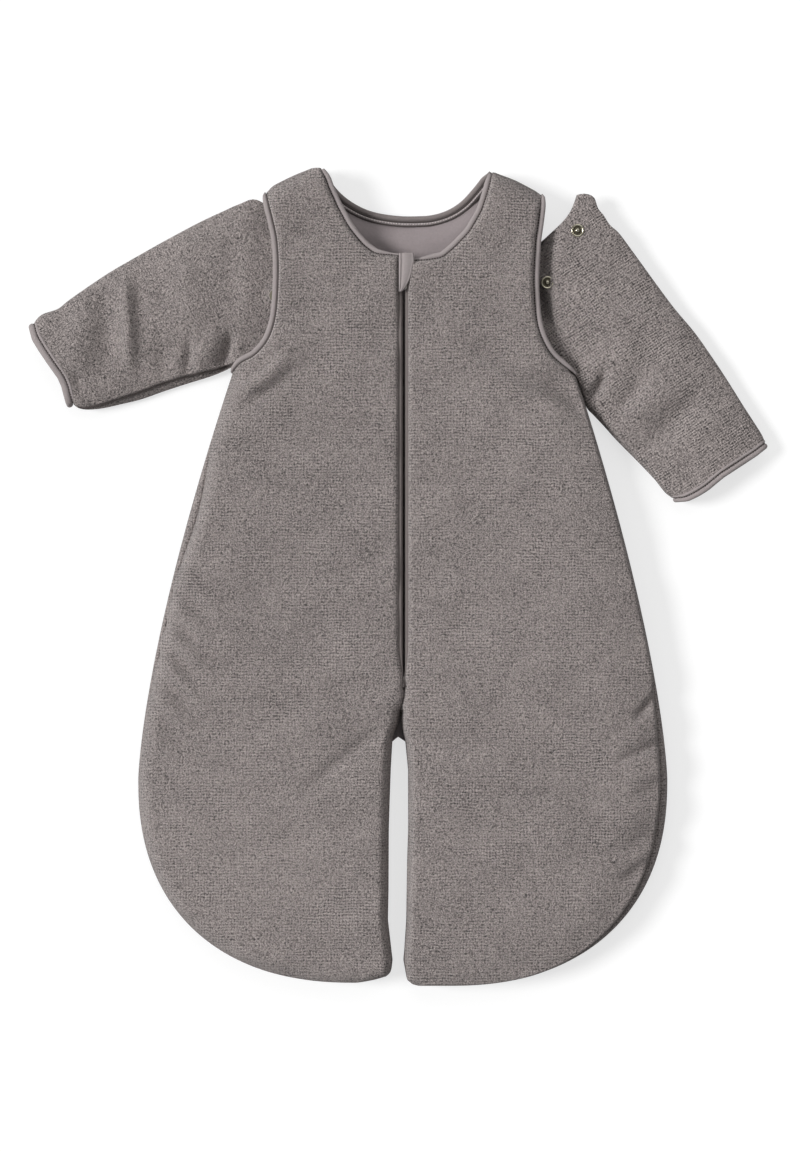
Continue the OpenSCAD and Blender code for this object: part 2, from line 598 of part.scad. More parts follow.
module pull_tab() color(metal) {
    neck_w = 2 * (ear_in - run_gap);
    eye_y = pull_w / 2 - pull_len;
    pin_bar(pin_d, ear_in + ear_w);
    translate([0, y_pin, z_pin - pull_t / 2]) linear_extrude(pull_t) difference() {
        union() {
            translate([-neck_w / 2, -pull_len / 2]) square([neck_w, pull_len / 2]);
            translate([0, eye_y]) circle(d = pull_w);
            translate([-pull_w / 2, eye_y]) square([pull_w, -eye_y - 2 * pin_d]);
        }
        translate([0, eye_y]) circle(d = pull_w / 2);
    }
}

// Chin guard: a leaf of cloth sewn along its left edge, arched over the slider
guard_x = -groove_w / 2 - guard_t;
guard_over = 8;
guard_top = y_neck_front + guard_over;
guard_rise = z_pin + pin_d + run_gap - z_zip_edge;
module chin_guard() color(binding_taupe) intersection() {
    y_low = guard_top - guard_len;
    z_leaf = z_zip_edge + guard_rise;
    union() {
        translate([guard_x, y_low, z_leaf]) cube([2 * guard_w, guard_len, guard_t]);
        // Sewn foot, which stops below the neck binding
        translate([guard_x, y_low, z_zip_edge])
            cube([guard_t, y_neck_front - run_gap - y_low, guard_rise + guard_t / 2]);
    }
    translate([guard_x - guard_len, guard_top, 0])
        cylinder(r = guard_len + guard_w, h = 2 * z_front_top, $fn = 96);
}

// Sleeves
module sleeve_shell(half) color(taupe) on_side(half)
    sleeve_layer(half, plain_steps, sleeve_cuts[0], sleeve_cuts[1]);
module sleeve_wadding(half) color(wadding_white) on_side(half)
    sleeve_layer(half, plain_steps, sleeve_cuts[1], sleeve_cuts[2]);
module sleeve_lining(half) color(lining_taupe) on_side(half)
    sleeve_layer(half, plain_steps, sleeve_cuts[2], sleeve_cuts[3]);
module cuff_binding(half) color(binding_taupe) on_side(half)
    sleeve_layer(half, cuff_steps, sleeve_cuts[0], sleeve_cuts[3]);

// Snaps: a ring, a post and the web that joins them, and a socket for the post
ring_h = 1;
ring_in = stud_d / 2 + 0.8;
module snap_studs(half) color(metal) on_side(half) for (k = [0, 1]) translate(snap_at(half, k)) {
    translate([0, 0, -sleeve_in - ring_h / 2]) cylinder(d = stud_d, h = sleeve_in + ring_h / 2 + stud_h);
    rotate_extrude() translate([ring_in, -ring_h / 2]) square([snap_d / 2 - ring_in, ring_h]);
    translate([0, 0, -ring_h / 2]) cylinder(r = ring_in + 0.2, h = ring_h * 0.6);
}
function room_z(p) = lerp(seam_z, z_room_top, crown(p, seams(LEFT)));
function seat_z(at) = min([for (a = [0 : 90 : 270]) room_z([at.x, at.y] + snap_d / 2 * [cos(a), sin(a)])]);
module snap_sockets(half) color(metal) on_side(half) for (k = [0, 1]) {
    at = snap_at(LEFT, k);
    translate([at.x, at.y, seat_z(at) - socket_h]) difference() {
        cylinder(d = snap_d, h = socket_h);
        translate([0, 0, -1]) cylinder(d = stud_d + 2 * run_gap, h = socket_h);
    }
}

back_shell();
back_wadding();
back_lining();
front_shell(LEFT);  // front_shell_left
front_shell(RIGHT);  // front_shell_right
front_wadding(LEFT);  // front_wadding_left
front_wadding(RIGHT);  // front_wadding_right
front_lining(LEFT);  // front_lining_left
front_lining(RIGHT);  // front_lining_right
flap_shell(LEFT);  // flap_shell_left
flap_shell(RIGHT);  // flap_shell_right
flap_wadding(LEFT);  // flap_wadding_left
flap_wadding(RIGHT);  // flap_wadding_right
flap_lining(LEFT);  // flap_lining_left
flap_lining(RIGHT);  // flap_lining_right
armhole_binding(LEFT);  // armhole_binding_left
armhole_binding(RIGHT);  // armhole_binding_right
neck_binding_back();
neck_binding(LEFT);  // neck_binding_left
neck_binding(RIGHT);  // neck_binding_right
zip_tape(LEFT);  // zip_tape_left
zip_tape(RIGHT);  // zip_tape_right
zip_tape_end();
zip_coil(LEFT);  // zip_coil_left
zip_coil(RIGHT);  // zip_coil_right
zip_coil_end();
zip_stop(LEFT);  // zip_stop_left
zip_stop(RIGHT);  // zip_stop_right
zip_stop_end();
zip_slider();
pull_tab();
chin_guard();
sleeve_shell(LEFT);  // sleeve_shell_left
sleeve_shell(RIGHT);  // sleeve_shell_right
sleeve_wadding(LEFT);  // sleeve_wadding_left
sleeve_wadding(RIGHT);  // sleeve_wadding_right
sleeve_lining(LEFT);  // sleeve_lining_left
sleeve_lining(RIGHT);  // sleeve_lining_right
cuff_binding(LEFT);  // cuff_binding_left
cuff_binding(RIGHT);  // cuff_binding_right
snap_studs(LEFT);  // snap_studs_left
snap_studs(RIGHT);  // snap_studs_right
snap_sockets(LEFT);  // snap_sockets_left
snap_sockets(RIGHT);  // snap_sockets_right
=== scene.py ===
import json
import math

import bmesh
import bpy
import numpy as np
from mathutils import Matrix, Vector


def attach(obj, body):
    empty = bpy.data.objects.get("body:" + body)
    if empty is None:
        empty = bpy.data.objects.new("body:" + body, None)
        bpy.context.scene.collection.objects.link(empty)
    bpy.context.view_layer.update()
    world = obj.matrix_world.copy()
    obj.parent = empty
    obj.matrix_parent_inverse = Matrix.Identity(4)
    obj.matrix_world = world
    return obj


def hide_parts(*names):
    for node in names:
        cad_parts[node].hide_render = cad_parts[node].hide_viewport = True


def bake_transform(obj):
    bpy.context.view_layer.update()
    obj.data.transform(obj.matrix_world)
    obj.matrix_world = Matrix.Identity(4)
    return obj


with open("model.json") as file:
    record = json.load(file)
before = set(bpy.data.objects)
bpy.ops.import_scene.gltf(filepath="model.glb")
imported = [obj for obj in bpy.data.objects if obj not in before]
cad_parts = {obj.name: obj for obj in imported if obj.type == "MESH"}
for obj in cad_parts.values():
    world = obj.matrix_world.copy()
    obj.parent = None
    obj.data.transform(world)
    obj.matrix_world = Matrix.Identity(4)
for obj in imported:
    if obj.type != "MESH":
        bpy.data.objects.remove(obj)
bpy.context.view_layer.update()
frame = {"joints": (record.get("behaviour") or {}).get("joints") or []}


# Back panel: one piece of plush over wadding with a jersey lining, on which the rest of the bag lies.
# It is cut a little wider than the fronts, so its edge rolls up round the sides and legs to the seam.
# All sizes are in millimetres on the photograph's own scale, with u measured outwards from the zip.
MM = 0.001
LEFT, RIGHT = -1, 1
NAMES = {LEFT: "left", RIGHT: "right"}
HIP_LEVEL, UNDERARM_LEVEL = -174, 175
HIP = {LEFT: 228, RIGHT: 226}
UNDERARM = 147
HEM_LEVEL = {LEFT: -347.5, RIGHT: -350}
HEM_REACH = {LEFT: 45, RIGHT: 40}
HEM_SQUARE = 2.3
SIDE_BOW = 1.43
SEAM_TOP, SEAM_MIDDLE, SEAM_LOW = 20.4, 18, 14.5
CROWN = {LEFT: 13, RIGHT: 2}
SLIT_CROWN = {LEFT: 9, RIGHT: 7}
SLOW_SWELL = {LEFT: (0.17, 52), RIGHT: (0.42, 44)}
SLIT_EDGE = {
    LEFT: [(-116, 2.8), (-125, 5.5), (-133, 9), (-140, 10.6), (-165, 12), (-191, 12.9), (-217, 13.7),
           (-268, 13.9), (-294, 14.4), (-320, 11.4), (-328, 10.4), (-335, 11.2), (-339, 12.4),
           (-342, 15.4), (-344.6, 24), (-346.4, 33), (-348, 44)],
    RIGHT: [(-116, -2.5), (-128, -1.5), (-135, 0), (-140, 1.7), (-165, 4.2), (-217, 4.3), (-242, 3.4),
            (-294, 2.6), (-320, 0.9), (-328, 0.1), (-332, 0.9), (-342, 2.6), (-345.5, 3.6), (-349, 8),
            (-351, 16)],
}
ARMHOLE = {
    LEFT: [(147, 175), (139, 183), (126.5, 190), (115, 204.5), (109, 226), (107, 259), (108, 285),
           (111.3, 303), (118, 328.5)],
    RIGHT: [(147, 172.5), (128, 187), (118.6, 201), (113.4, 217), (111, 237), (110.6, 259), (112, 285),
            (114.4, 303), (117.4, 327)],
}
SHOULDER = {
    LEFT: [(118, 328.5), (112, 335), (102, 340.3), (91, 345.4), (79, 350)],
    RIGHT: [(117.4, 327), (113, 330.4), (104.6, 335), (94.3, 340.2), (79.7, 345.6), (76.5, 346.6)],
}
BACK_NECK = {
    LEFT: [(-4, 304.6), (4, 304.9), (14.4, 306), (26, 308.2), (37, 312), (48, 318), (57.5, 325.4),
           (65, 333.8), (71, 343.5), (74, 349.6)],
    RIGHT: [(4, 304.6), (14, 304.8), (22, 305.3), (32.5, 307.6), (43, 312), (52.8, 318.8), (61.4, 327.7),
            (68.5, 336.2), (74, 344), (75.6, 346.2)],
}
BACK_CROTCH, BACK_NECK_LOW = -137, 304.6
# The back's middle lies right of the zip at the neck and left of it at the crotch: how far, at which levels
NECK_SHIFT, NECK_SHIFT_LEVELS = 4, (150, 270)
CROTCH_SHIFT, CROTCH_SHIFT_LEVELS = 5, (-60, BACK_CROTCH)
SHOULDER_CROWN, LEAST_WIDE = 16, 0.6
BACK_EDGE, BACK_EDGE_UP, LINING_EDGE_DOWN = 9, 2.6, 2.2
LINING_SAG, LINING_SWELL, LINING_EASE = 8, 5, 0.35
# Where the lining swells below the neck: levels, how far out, how far off the edge
SWELL_LEVELS, SWELL_REACH, SWELL_OFF_EDGE = (225, 265), (80, 45), (5, 17)
HEM_LIP, HEM_TURN, SLIT_LAP, SLIT_BULGE = 1.2, (2.3, 0.8), 0.8, 0.7
SEAM_TUCK, LINING_TUCK = 0.5, 0.3
ROLL_TURNS = (35.0, 62.0, 90.0)


def smooth(t):
    """Soft step from 0 to 1"""
    t = np.clip(t, 0, 1)
    return t * t * (3 - 2 * t)


def ramp(value, start, end):
    """Soft step from 0 at start to 1 at end"""
    return smooth((value - start) / (end - start))


def swell(t):
    """Rise of a stuffed cloth from its seam, at a share t of the crown's width"""
    return np.sqrt(1 - (1 - np.clip(t, 0, 1)) ** 2)


def plump(t, seam_gap, side):
    """Rise of a pad from its edges: a steep rounded rim, then a slow swell away from the outer seam"""
    share, wide = SLOW_SWELL[side]
    return swell(t) * (1 - share + share * np.sin(np.pi / 2 * np.clip(seam_gap / wide, 0, 1)))


def through(points, step=2.0):
    """Even points along a smooth curve through the given ones"""
    p = np.array(points, float)
    before = np.vstack([2 * p[0] - p[1], p[:-2]])
    after = np.vstack([p[2:], 2 * p[-1] - p[-2]])
    t = np.linspace(0, 1, 12, endpoint=False)[None, :, None]
    a, b, c, d = before[:, None], p[:-1, None], p[1:, None], after[:, None]
    curve = 0.5 * (2 * b + (c - a) * t + (2 * a - 5 * b + 4 * c - d) * t ** 2
                   + (3 * b - a - 3 * c + d) * t ** 3)
    curve = np.vstack([curve.reshape(-1, p.shape[1]), p[-1]])
    run = np.concatenate([[0], np.cumsum(np.linalg.norm(np.diff(curve, axis=0), axis=1))])
    at = np.linspace(0, run[-1], max(2, int(run[-1] / step) + 1))
    return np.stack([np.interp(at, run, curve[:, k]) for k in range(p.shape[1])], 1)


def climbing(curve, least=0.12):
    """The same curve with its level made to rise all along"""
    y = curve[:, 1].copy()
    for i in range(1, len(y)):
        y[i] = max(y[i], y[i - 1] + least)
    return np.stack([curve[:, 0], y], 1)


def side_u(y, side):
    """Half width of the bag between hem and underarm"""
    hem = HEM_LEVEL[side]
    rise = np.clip((y - HIP_LEVEL) / (UNDERARM_LEVEL - HIP_LEVEL), 0, 1)
    drop = np.clip((HIP_LEVEL - y) / (HIP_LEVEL - hem), 0, 1)
    above = HIP[side] + (UNDERARM - HIP[side]) * rise ** SIDE_BOW
    below = HEM_REACH[side] + (HIP[side] - HEM_REACH[side]) * (1 - drop ** HEM_SQUARE) ** (1 / HEM_SQUARE)
    return np.where(y > HIP_LEVEL, above, below)


def hem_levels(side, count=60):
    """Levels from hem to hip, close where the hem turns"""
    turn = np.linspace(np.pi / 2, 0, count)
    return HIP_LEVEL - (HIP_LEVEL - HEM_LEVEL[side]) * np.sin(turn) ** (2 / HEM_SQUARE)


def slit_u(y, side):
    """Inner edge of a leg"""
    line = np.array(SLIT_EDGE[side][::-1], float)
    return np.interp(y, line[:, 0], line[:, 1])


def outer_u(y, side):
    """Outer edge of a panel: side, armhole, shoulder"""
    armhole = climbing(through(ARMHOLE[side]))
    shoulder = through(SHOULDER[side])
    low, tip = armhole[0, 1], armhole[-1, 1]
    u = side_u(y, side)
    u = np.where(y > low, np.interp(y, armhole[:, 1], armhole[:, 0]), u)
    return np.where(y > tip, np.interp(y, shoulder[:, 1], shoulder[:, 0]), u)


def columns(count):
    """Shares from the inner to the outer edge, closer near both"""
    k = np.linspace(0, 1, count)
    return 0.5 * k + 0.25 * (1 - np.cos(np.pi * k))


def gap_to(u, y, line):
    """Distance of each grid point from a line"""
    gap = np.full(u.shape, 1e6)
    for (start_u, start_y), (end_u, end_y) in zip(line[:-1], line[1:]):
        du, dy = end_u - start_u, end_y - start_y
        at = np.clip(((u - start_u) * du + (y - start_y) * dy) / max(du * du + dy * dy, 1e-9), 0, 1)
        gap = np.minimum(gap, (u - start_u - at * du) ** 2 + (y - start_y - at * dy) ** 2)
    return np.sqrt(gap)


def nearest_of(*shares):
    """Smallest of several shares, rounded off where two are alike"""
    return sum((s + 1e-4) ** -4.0 for s in shares) ** -0.25


def uneven(u, y, shift):
    """Slow unevenness of stuffed cloth, about one unit high"""
    waves = ((0.03, 0.11), (-0.05, 0.08), (0.09, 0.05), (0.02, 0.17), (0.12, -0.05), (-0.06, 0.14))
    bent_u, bent_y = u + 9 * np.sin(y / 57 + shift), y + 11 * np.sin(u / 71 - shift)
    return sum(np.sin(a * bent_u + b * bent_y + shift * (k + 1.7)) / (1 + 0.3 * k)
               for k, (a, b) in enumerate(waves))


def pad_loops(side, u, y, top, under, inner_bulge, outer_rim):
    """One closed loop a level: over the top, round the outer edge, back below, round the inner edge"""
    share = np.array([0.3, 0.7])
    inner_z = under[:, :1] + (top[:, :1] - under[:, :1]) * share
    inner_u = np.repeat(u[:, :1] - inner_bulge[:, None], 2, 1)
    outer_at, outer_z = outer_rim
    us = np.hstack([u, outer_at, u[:, ::-1], inner_u])
    zs = np.hstack([top, outer_z, under[:, ::-1], inner_z])
    ys = np.repeat(y[:, :1], us.shape[1], 1)
    return np.stack([side * us, ys, zs], 2)


def sew(name, stacks, cloths):
    """One mesh from stacks: loops, each strip's cloth, a test of what stays open, loops to close"""
    points, faces, cloth_of = [], [], []
    for loops, strips, is_open, closed in stacks:
        levels, count = loops.shape[:2]
        base = len(points)
        points.extend((loops.reshape(-1, 3) * MM).tolist())
        for i in range(levels - 1):
            for k in range(count):
                if is_open(i, k):
                    continue
                a, b = base + i * count + k, base + i * count + (k + 1) % count
                faces.append((a, b, b + count, a + count))
                cloth_of.append(strips[k])
        for i in closed:
            faces.append(tuple(base + i * count + k for k in range(count)))
            cloth_of.append(strips[0])
    mesh = bpy.data.meshes.new(name)
    mesh.from_pydata(points, [], faces)
    mesh.polygons.foreach_set("material_index", cloth_of)
    work = bmesh.new()
    work.from_mesh(mesh)
    bmesh.ops.remove_doubles(work, verts=work.verts, dist=1e-6)
    bmesh.ops.delete(work, geom=[v for v in work.verts if not v.link_faces], context="VERTS")
    bmesh.ops.recalc_face_normals(work, faces=work.faces)
    for face in work.faces:
        face.smooth = True
    work.to_mesh(mesh)
    work.free()
    piece = bpy.data.objects.new(name, mesh)
    bpy.context.collection.objects.link(piece)
    for cloth in cloths:
        mesh.materials.append(cloth)
    return piece


class Yarn:
    """Output of a shader node. Sums on it add Math nodes, and node() adds any other node."""

    def __init__(self, tree, socket=None):
        self.tree = tree
        self.socket = socket

    def node(self, kind, settings=None, sockets=None, out=0):
        made = self.tree.nodes.new(kind)
        for key, value in (settings or {}).items():
            setattr(made, key, value)
        for key, value in (sockets or {}).items():
            if isinstance(value, Yarn):
                self.tree.links.new(value.socket, made.inputs[key])
            else:
                made.inputs[key].default_value = value
        return Yarn(self.tree, made.outputs[out])

    def math(self, operation, *values):
        return self.node("ShaderNodeMath", {"operation": operation}, dict(enumerate(values)))

    def __add__(self, other):
        return self.math("ADD", self, other)

    def __radd__(self, other):
        return self.math("ADD", other, self)

    def __sub__(self, other):
        return self.math("SUBTRACT", self, other)

    def __rsub__(self, other):
        return self.math("SUBTRACT", other, self)

    def __mul__(self, other):
        return self.math("MULTIPLY", self, other)

    def __rmul__(self, other):
        return self.math("MULTIPLY", other, self)

    def __truediv__(self, other):
        return self.math("DIVIDE", self, other)

    def clamped(self):
        return self.node("ShaderNodeClamp", None, {0: self})

    def between(self, dark, light):
        ends = {0: self, 6: (*dark, 1), 7: (*light, 1)}
        return self.node("ShaderNodeMix", {"data_type": "RGBA"}, ends, 2)


def blank(name):
    """A new material, its nodes and its shader"""
    material = bpy.data.materials.new(name)
    material.use_nodes = True
    return material, material.node_tree, material.node_tree.nodes["Principled BSDF"]


def cloth(name, rough, sheen, paint):
    """A cloth's material. paint takes its bare Yarn and returns the colour and the pile's height in mm."""
    material, tree, shader = blank(name)
    colour, height = paint(Yarn(tree))
    bump = Yarn(tree).node("ShaderNodeBump", None, {"Strength": 1.0, "Distance": MM, "Height": height})
    tree.links.new(colour.socket, shader.inputs["Base Color"])
    tree.links.new(bump.socket, shader.inputs["Normal"])
    shader.inputs["Roughness"].default_value = rough
    shader.inputs["Specular IOR Level"].default_value = 0.12
    shader.inputs["Sheen Weight"].default_value = sheen
    shader.inputs["Sheen Roughness"].default_value = 0.6
    return material


def in_mm(yarn, turn=0):
    """Place on the object in mm, turned about the vertical by some degrees"""
    place = yarn.node("ShaderNodeTexCoord", None, None, "Object")
    return yarn.node("ShaderNodeMapping", {"vector_type": "TEXTURE"}, {
        "Vector": place, "Rotation": (0, 0, math.radians(turn)), "Scale": (MM, MM, MM)})


PLUSH = np.array([0.281, 0.2445, 0.235])
# Ends of the plush's colour as the pile runs from low to high: painted shade in the gaps between tufts,
# painted light on their tips
PLUSH_SHADE_END, PLUSH_LIT_END = 0.16, 2.05
PILE_HIGH = 1.2


def plush(name, turn, pitch, order, grain, lighter_patches=()):
    """Knitted plush: curled pile in loops `pitch` mm apart, which show the more the nearer order is to 1"""
    def paint(yarn):
        flat = in_mm(yarn, turn)
        drift = yarn.node("ShaderNodeTexNoise", None, {"Vector": flat, "Scale": 0.07, "Detail": 3.0}, 1)
        sway = 8 * (1 - 0.7 * order)
        moved = yarn.node("ShaderNodeVectorMath", {"operation": "MULTIPLY_ADD"}, {
            0: drift, 1: (sway, sway, 0), 2: flat})
        along = yarn.node("ShaderNodeSeparateXYZ", None, {0: moved}) * (2 * math.pi / pitch)
        across = along.node("ShaderNodeSeparateXYZ", None, {0: moved}, 1) * (2 * math.pi / pitch)
        kept = yarn.node("ShaderNodeTexNoise", None, {"Vector": flat, "Scale": 0.03, "Detail": 2.0})
        rows = (kept * 2.6 - 0.8).clamped()
        course = across.math("COSINE", across) * rows
        wale = along.math("COSINE", along) * rows
        tufts = yarn.node("ShaderNodeVectorMath", {"operation": "DIVIDE"}, {
            0: moved, 1: (grain, 0.9 * grain, grain)})
        curl = yarn.node("ShaderNodeTexVoronoi", None, {"Vector": tufts, "Scale": 1.0, "Randomness": 0.9})
        bits = yarn.node("ShaderNodeTexNoise", None, {
            "Vector": tufts, "Scale": 1.3, "Detail": 3.0, "Roughness": 0.7})
        lying = yarn.node("ShaderNodeVectorMath", {"operation": "DIVIDE"}, {
            0: moved, 1: (0.5 * grain, 1.5 * grain, grain)})
        hairs = yarn.node("ShaderNodeTexNoise", None, {"Vector": lying, "Scale": 1.0, "Detail": 2.0})
        nap = yarn.node("ShaderNodeTexNoise", None, {"Vector": flat, "Scale": 0.025, "Detail": 2.0})
        pile = (0.9 + order * (0.26 * course + 0.14 * wale) - 0.75 * curl + 2.2 * (bits - 0.5)
                + 1.5 * (1.2 - order) * (1 - 0.7 * rows) * (hairs - 0.5))
        light = pile + 0.24 * (nap - 0.5)
        # Broad patches where the colour is made lighter
        for x, y, wide, tone in lighter_patches:
            far = yarn.node("ShaderNodeVectorMath", {"operation": "DISTANCE"}, {0: flat, 1: (x, y, 20)}, 1)
            near = (1 - far / wide).clamped()
            light = light + tone * near * near
        # The colour follows the pile's height, as the bump does: painted shade in the gaps between tufts
        # and painted light on their tips, over the nap's random tone
        return light.clamped().between(PLUSH * PLUSH_SHADE_END, PLUSH * PLUSH_LIT_END), pile * PILE_HIGH
    return cloth(name, 0.95, 0.2, paint)


def jersey(name, colour, rib=0.9):
    """Fine smooth jersey: narrow ribs, a little mottled"""
    def paint(yarn):
        flat = in_mm(yarn)
        across = yarn.node("ShaderNodeSeparateXYZ", None, {0: flat}) * (2 * math.pi / rib)
        ribs = across.math("COSINE", across)
        mottle = yarn.node("ShaderNodeTexNoise", None, {"Vector": flat, "Scale": 0.5, "Detail": 4.0})
        cloud = yarn.node("ShaderNodeTexNoise", None, {"Vector": flat, "Scale": 0.03, "Detail": 2.0})
        light = (0.5 + 0.05 * ribs + 0.5 * (mottle - 0.5) + 0.35 * (cloud - 0.5)).clamped()
        tone = np.array(colour)
        return light.between(tone * 0.8, tone * 1.2), 0.06 * ribs + 0.1 * mottle
    return cloth(name, 0.85, 0.12, paint)


# Broad patches where the pile's colour is made lighter: x, y, how wide, how much
BODY_LIGHTER_PATCHES = [(-125, -240, 190, 0.11), (-175, -60, 100, 0.04), (95, 110, 170, 0.05),
                (100, -60, 170, 0.04)]
LOOP_PITCH = 2.57
body_plush = plush("plush_body", 0, LOOP_PITCH, 0.7, 1.5, BODY_LIGHTER_PATCHES)
lining_jersey = jersey("lining_jersey", (0.285, 0.247, 0.25))


def back_half(side):
    """Stack of one half of the back, open along the middle, where the other half joins it"""
    legs = np.concatenate([hem_levels(side), np.arange(HIP_LEVEL + 3, BACK_CROTCH - 1, 3)])
    middle = np.linspace(BACK_CROTCH, BACK_NECK_LOW, 92)
    neck = climbing(through(BACK_NECK[side], 3.0))
    y = np.concatenate([legs, middle, neck[1:, 1]])
    centre = side * (NECK_SHIFT * ramp(middle, *NECK_SHIFT_LEVELS)
                     - CROTCH_SHIFT * ramp(middle, *CROTCH_SHIFT_LEVELS))
    inner = np.concatenate([slit_u(legs, side), centre, neck[1:, 0]])
    outer = np.maximum(outer_u(y, side), inner + LEAST_WIDE)
    u = inner[:, None] + (outer - inner)[:, None] * columns(56)
    grid_y = np.repeat(y[:, None], u.shape[1], 1)
    edge = np.stack([outer, y], 1)
    seam = np.vstack([[u[0, 0], y[0]], edge[y < UNDERARM_LEVEL]])
    slit = np.stack([inner, y], 1)[: len(legs) + 1]
    shoulder = edge[y > ARMHOLE[side][-1][1]]
    seam_gap = gap_to(u, grid_y, seam)
    rise = plump(nearest_of(seam_gap / CROWN[side], gap_to(u, grid_y, slit) / SLIT_CROWN[side],
                            gap_to(u, grid_y, shoulder) / SHOULDER_CROWN), seam_gap, side)
    open_gap = np.minimum(gap_to(u, grid_y, through(ARMHOLE[side])), gap_to(u, grid_y, neck))
    thin = 1 - swell(open_gap / BACK_EDGE)
    low = (SEAM_LOW * (1 - rise) + BACK_EDGE_UP * thin * rise).clip(0)
    lining = SEAM_MIDDLE - LINING_SAG * rise - LINING_EDGE_DOWN * thin * rise
    lining += LINING_EASE * uneven(u, grid_y, 2.1) * rise
    below_neck = ramp(grid_y, *SWELL_LEVELS) * ramp(u, *SWELL_REACH) * ramp(open_gap, *SWELL_OFF_EDGE)
    lining += LINING_SWELL * below_neck * rise
    # At the hem and the slit the lining comes up to the front's edge
    at_hem = ramp(grid_y - y[0], *HEM_TURN)
    lining += at_hem * (SEAM_TOP - HEM_LIP - lining)
    lining[:len(legs), 0] = np.maximum(lining[:len(legs), 0], SEAM_MIDDLE + SLIT_LAP)
    # The plush rolls up past its widest line to the seam
    seam_rows = (y < UNDERARM_LEVEL)[:, None]
    turned = np.radians(ROLL_TURNS)
    roll = front_inset(y, side)[:, None]
    rim_u = np.where(seam_rows, outer[:, None] - roll * (1 - np.cos(turned)), outer[:, None])
    rim_z = np.where(seam_rows, low[:, -1:] + (SEAM_TOP - SEAM_TUCK - low[:, -1:]) * np.sin(turned),
                     low[:, -1:] + (lining[:, -1:] - low[:, -1:]) * np.array([0.25, 0.5, 0.75]))
    # The lining's own edge lies under the front's
    lining_u = np.where(seam_rows, np.minimum(u, outer[:, None] - roll - LINING_TUCK), u)
    is_middle = (y >= BACK_CROTCH) & (y <= BACK_NECK_LOW + 0.1)
    bulge = np.where(is_middle, 0, SLIT_BULGE)
    count = u.shape[1]
    loops = pad_loops(side, u, grid_y, low, lining, bulge, (rim_u, rim_z))
    loops[:, count + 3:2 * count + 3, 0] = side * lining_u[:, ::-1]
    strips = [0] * (count + 2) + [1] * count + [0] * 3
    inner_strips = {2 * count + 2, 2 * count + 3, 2 * count + 4}

    def is_open(i, k):
        return bool(is_middle[i] and is_middle[i + 1] and k in inner_strips)
    return loops, strips, is_open, (0, len(y) - 1)


# The back's edge shows beside the fronts, in strips: how wide, from which level, down to which, how pointed
SEAM_INSET, HEM_INSET, HEM_INSET_LEVELS = 1.2, 1.2, (-300, -330)
LEG_STRIP = (5.8, -84, -340, 0.6)
SIDE_STRIP = (6.3, 118, -12, 1.3)
# The left strip is puckered lower down: how wide, how uneven, how far apart, from which level to which
EDGE_PUCKER, EDGE_PUCKER_WAVE, EDGE_PUCKER_EVERY, EDGE_PUCKER_LEVELS = 1.8, 1.3, 27, (20, -110)


def strip(y, wide, start, end, point):
    """Width of a strip between two levels, widest half way"""
    return wide * np.sin(np.pi * np.clip((start - y) / (start - end), 0, 1)) ** point


def front_inset(y, side):
    """How far a front's seam lies inside the back's edge"""
    if side == RIGHT:
        return SEAM_INSET + strip(y, *LEG_STRIP)
    wave = np.sin(2 * np.pi * (EDGE_PUCKER_LEVELS[0] - y) / EDGE_PUCKER_EVERY)
    puckers = strip(y, 1, *EDGE_PUCKER_LEVELS, 1) * (EDGE_PUCKER + EDGE_PUCKER_WAVE * wave)
    return SEAM_INSET + strip(y, *SIDE_STRIP) + puckers + HEM_INSET * ramp(y, *HEM_INSET_LEVELS)


back_panel = sew("back_panel", [back_half(LEFT), back_half(RIGHT)], [body_plush, lining_jersey])
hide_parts("back_shell", "back_wadding", "back_lining")
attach(back_panel, "bag")


# Front panels: a left and a right one of plush over wadding, lined, sewn to the back along the sides,
# legs and shoulders, and to each other below the zip. Each is one cloth, whose upper part folds outwards
# when the zip is open.
GROOVE = {LEFT: 4.8, RIGHT: 3.4}
GROOVE_TIP, GROOVE_CLOSES = 0.35, 40
ZIP_END, ZIP_ROW, FRONT_CROTCH = -97, 2.6, -116
JOIN_SHIFT, JOIN_GAP = 2.6, 0.25
FRONT_RISE, FRONT_LINING_RISE = 19.2, 12
FRONT_EDGE, EDGE_DOWN, LINING_EDGE_UP = 5, 4.6, 1.6
JOIN_WIDE, JOIN_DOWN, JOIN_LINING_DOWN = 11, 7, 3
FRONT_EASE, LEAST_THICK = 0.55, 2.2
# Small gathers along the seam: how high, how far in they start and fade, how close, how unevenly
GATHER_HIGH, GATHER_START, GATHER_FADE = 1.2, 4, 13
GATHER_TURN, GATHER_SWAY, GATHER_SWAY_TURN = 0.36, 2.2, 0.045
FRONT_NECK = {
    LEFT: [(3.3, 274.3), (9, 274.5), (15.3, 274.9), (24.2, 276), (30.1, 279.6), (36, 284.5),
           (43.3, 293.1), (49.3, 301.7), (52.9, 308.5), (56.6, 315), (60.4, 323.1), (64.3, 331.7),
           (67.4, 340.2), (72, 349.4)],
    RIGHT: [(3.3, 269.5), (9, 269.8), (19, 270.3), (31, 272.3), (35.8, 274.8), (42.6, 280.6),
            (49.6, 287.5), (55.9, 294.4), (61.4, 303.3), (66.3, 312.1), (69.7, 322), (72.2, 329.8),
            (74.1, 337.7), (75.8, 345.8)],
}
# Puckers along the left side: y, u, how high
PUCKERS = [(8, 192, 3.0), (-16, 199, 2.5), (-38, 206, 3.5), (-64, 211, 3.0), (-91, 217, 2.6),
           (-125, 223, 1.9)]
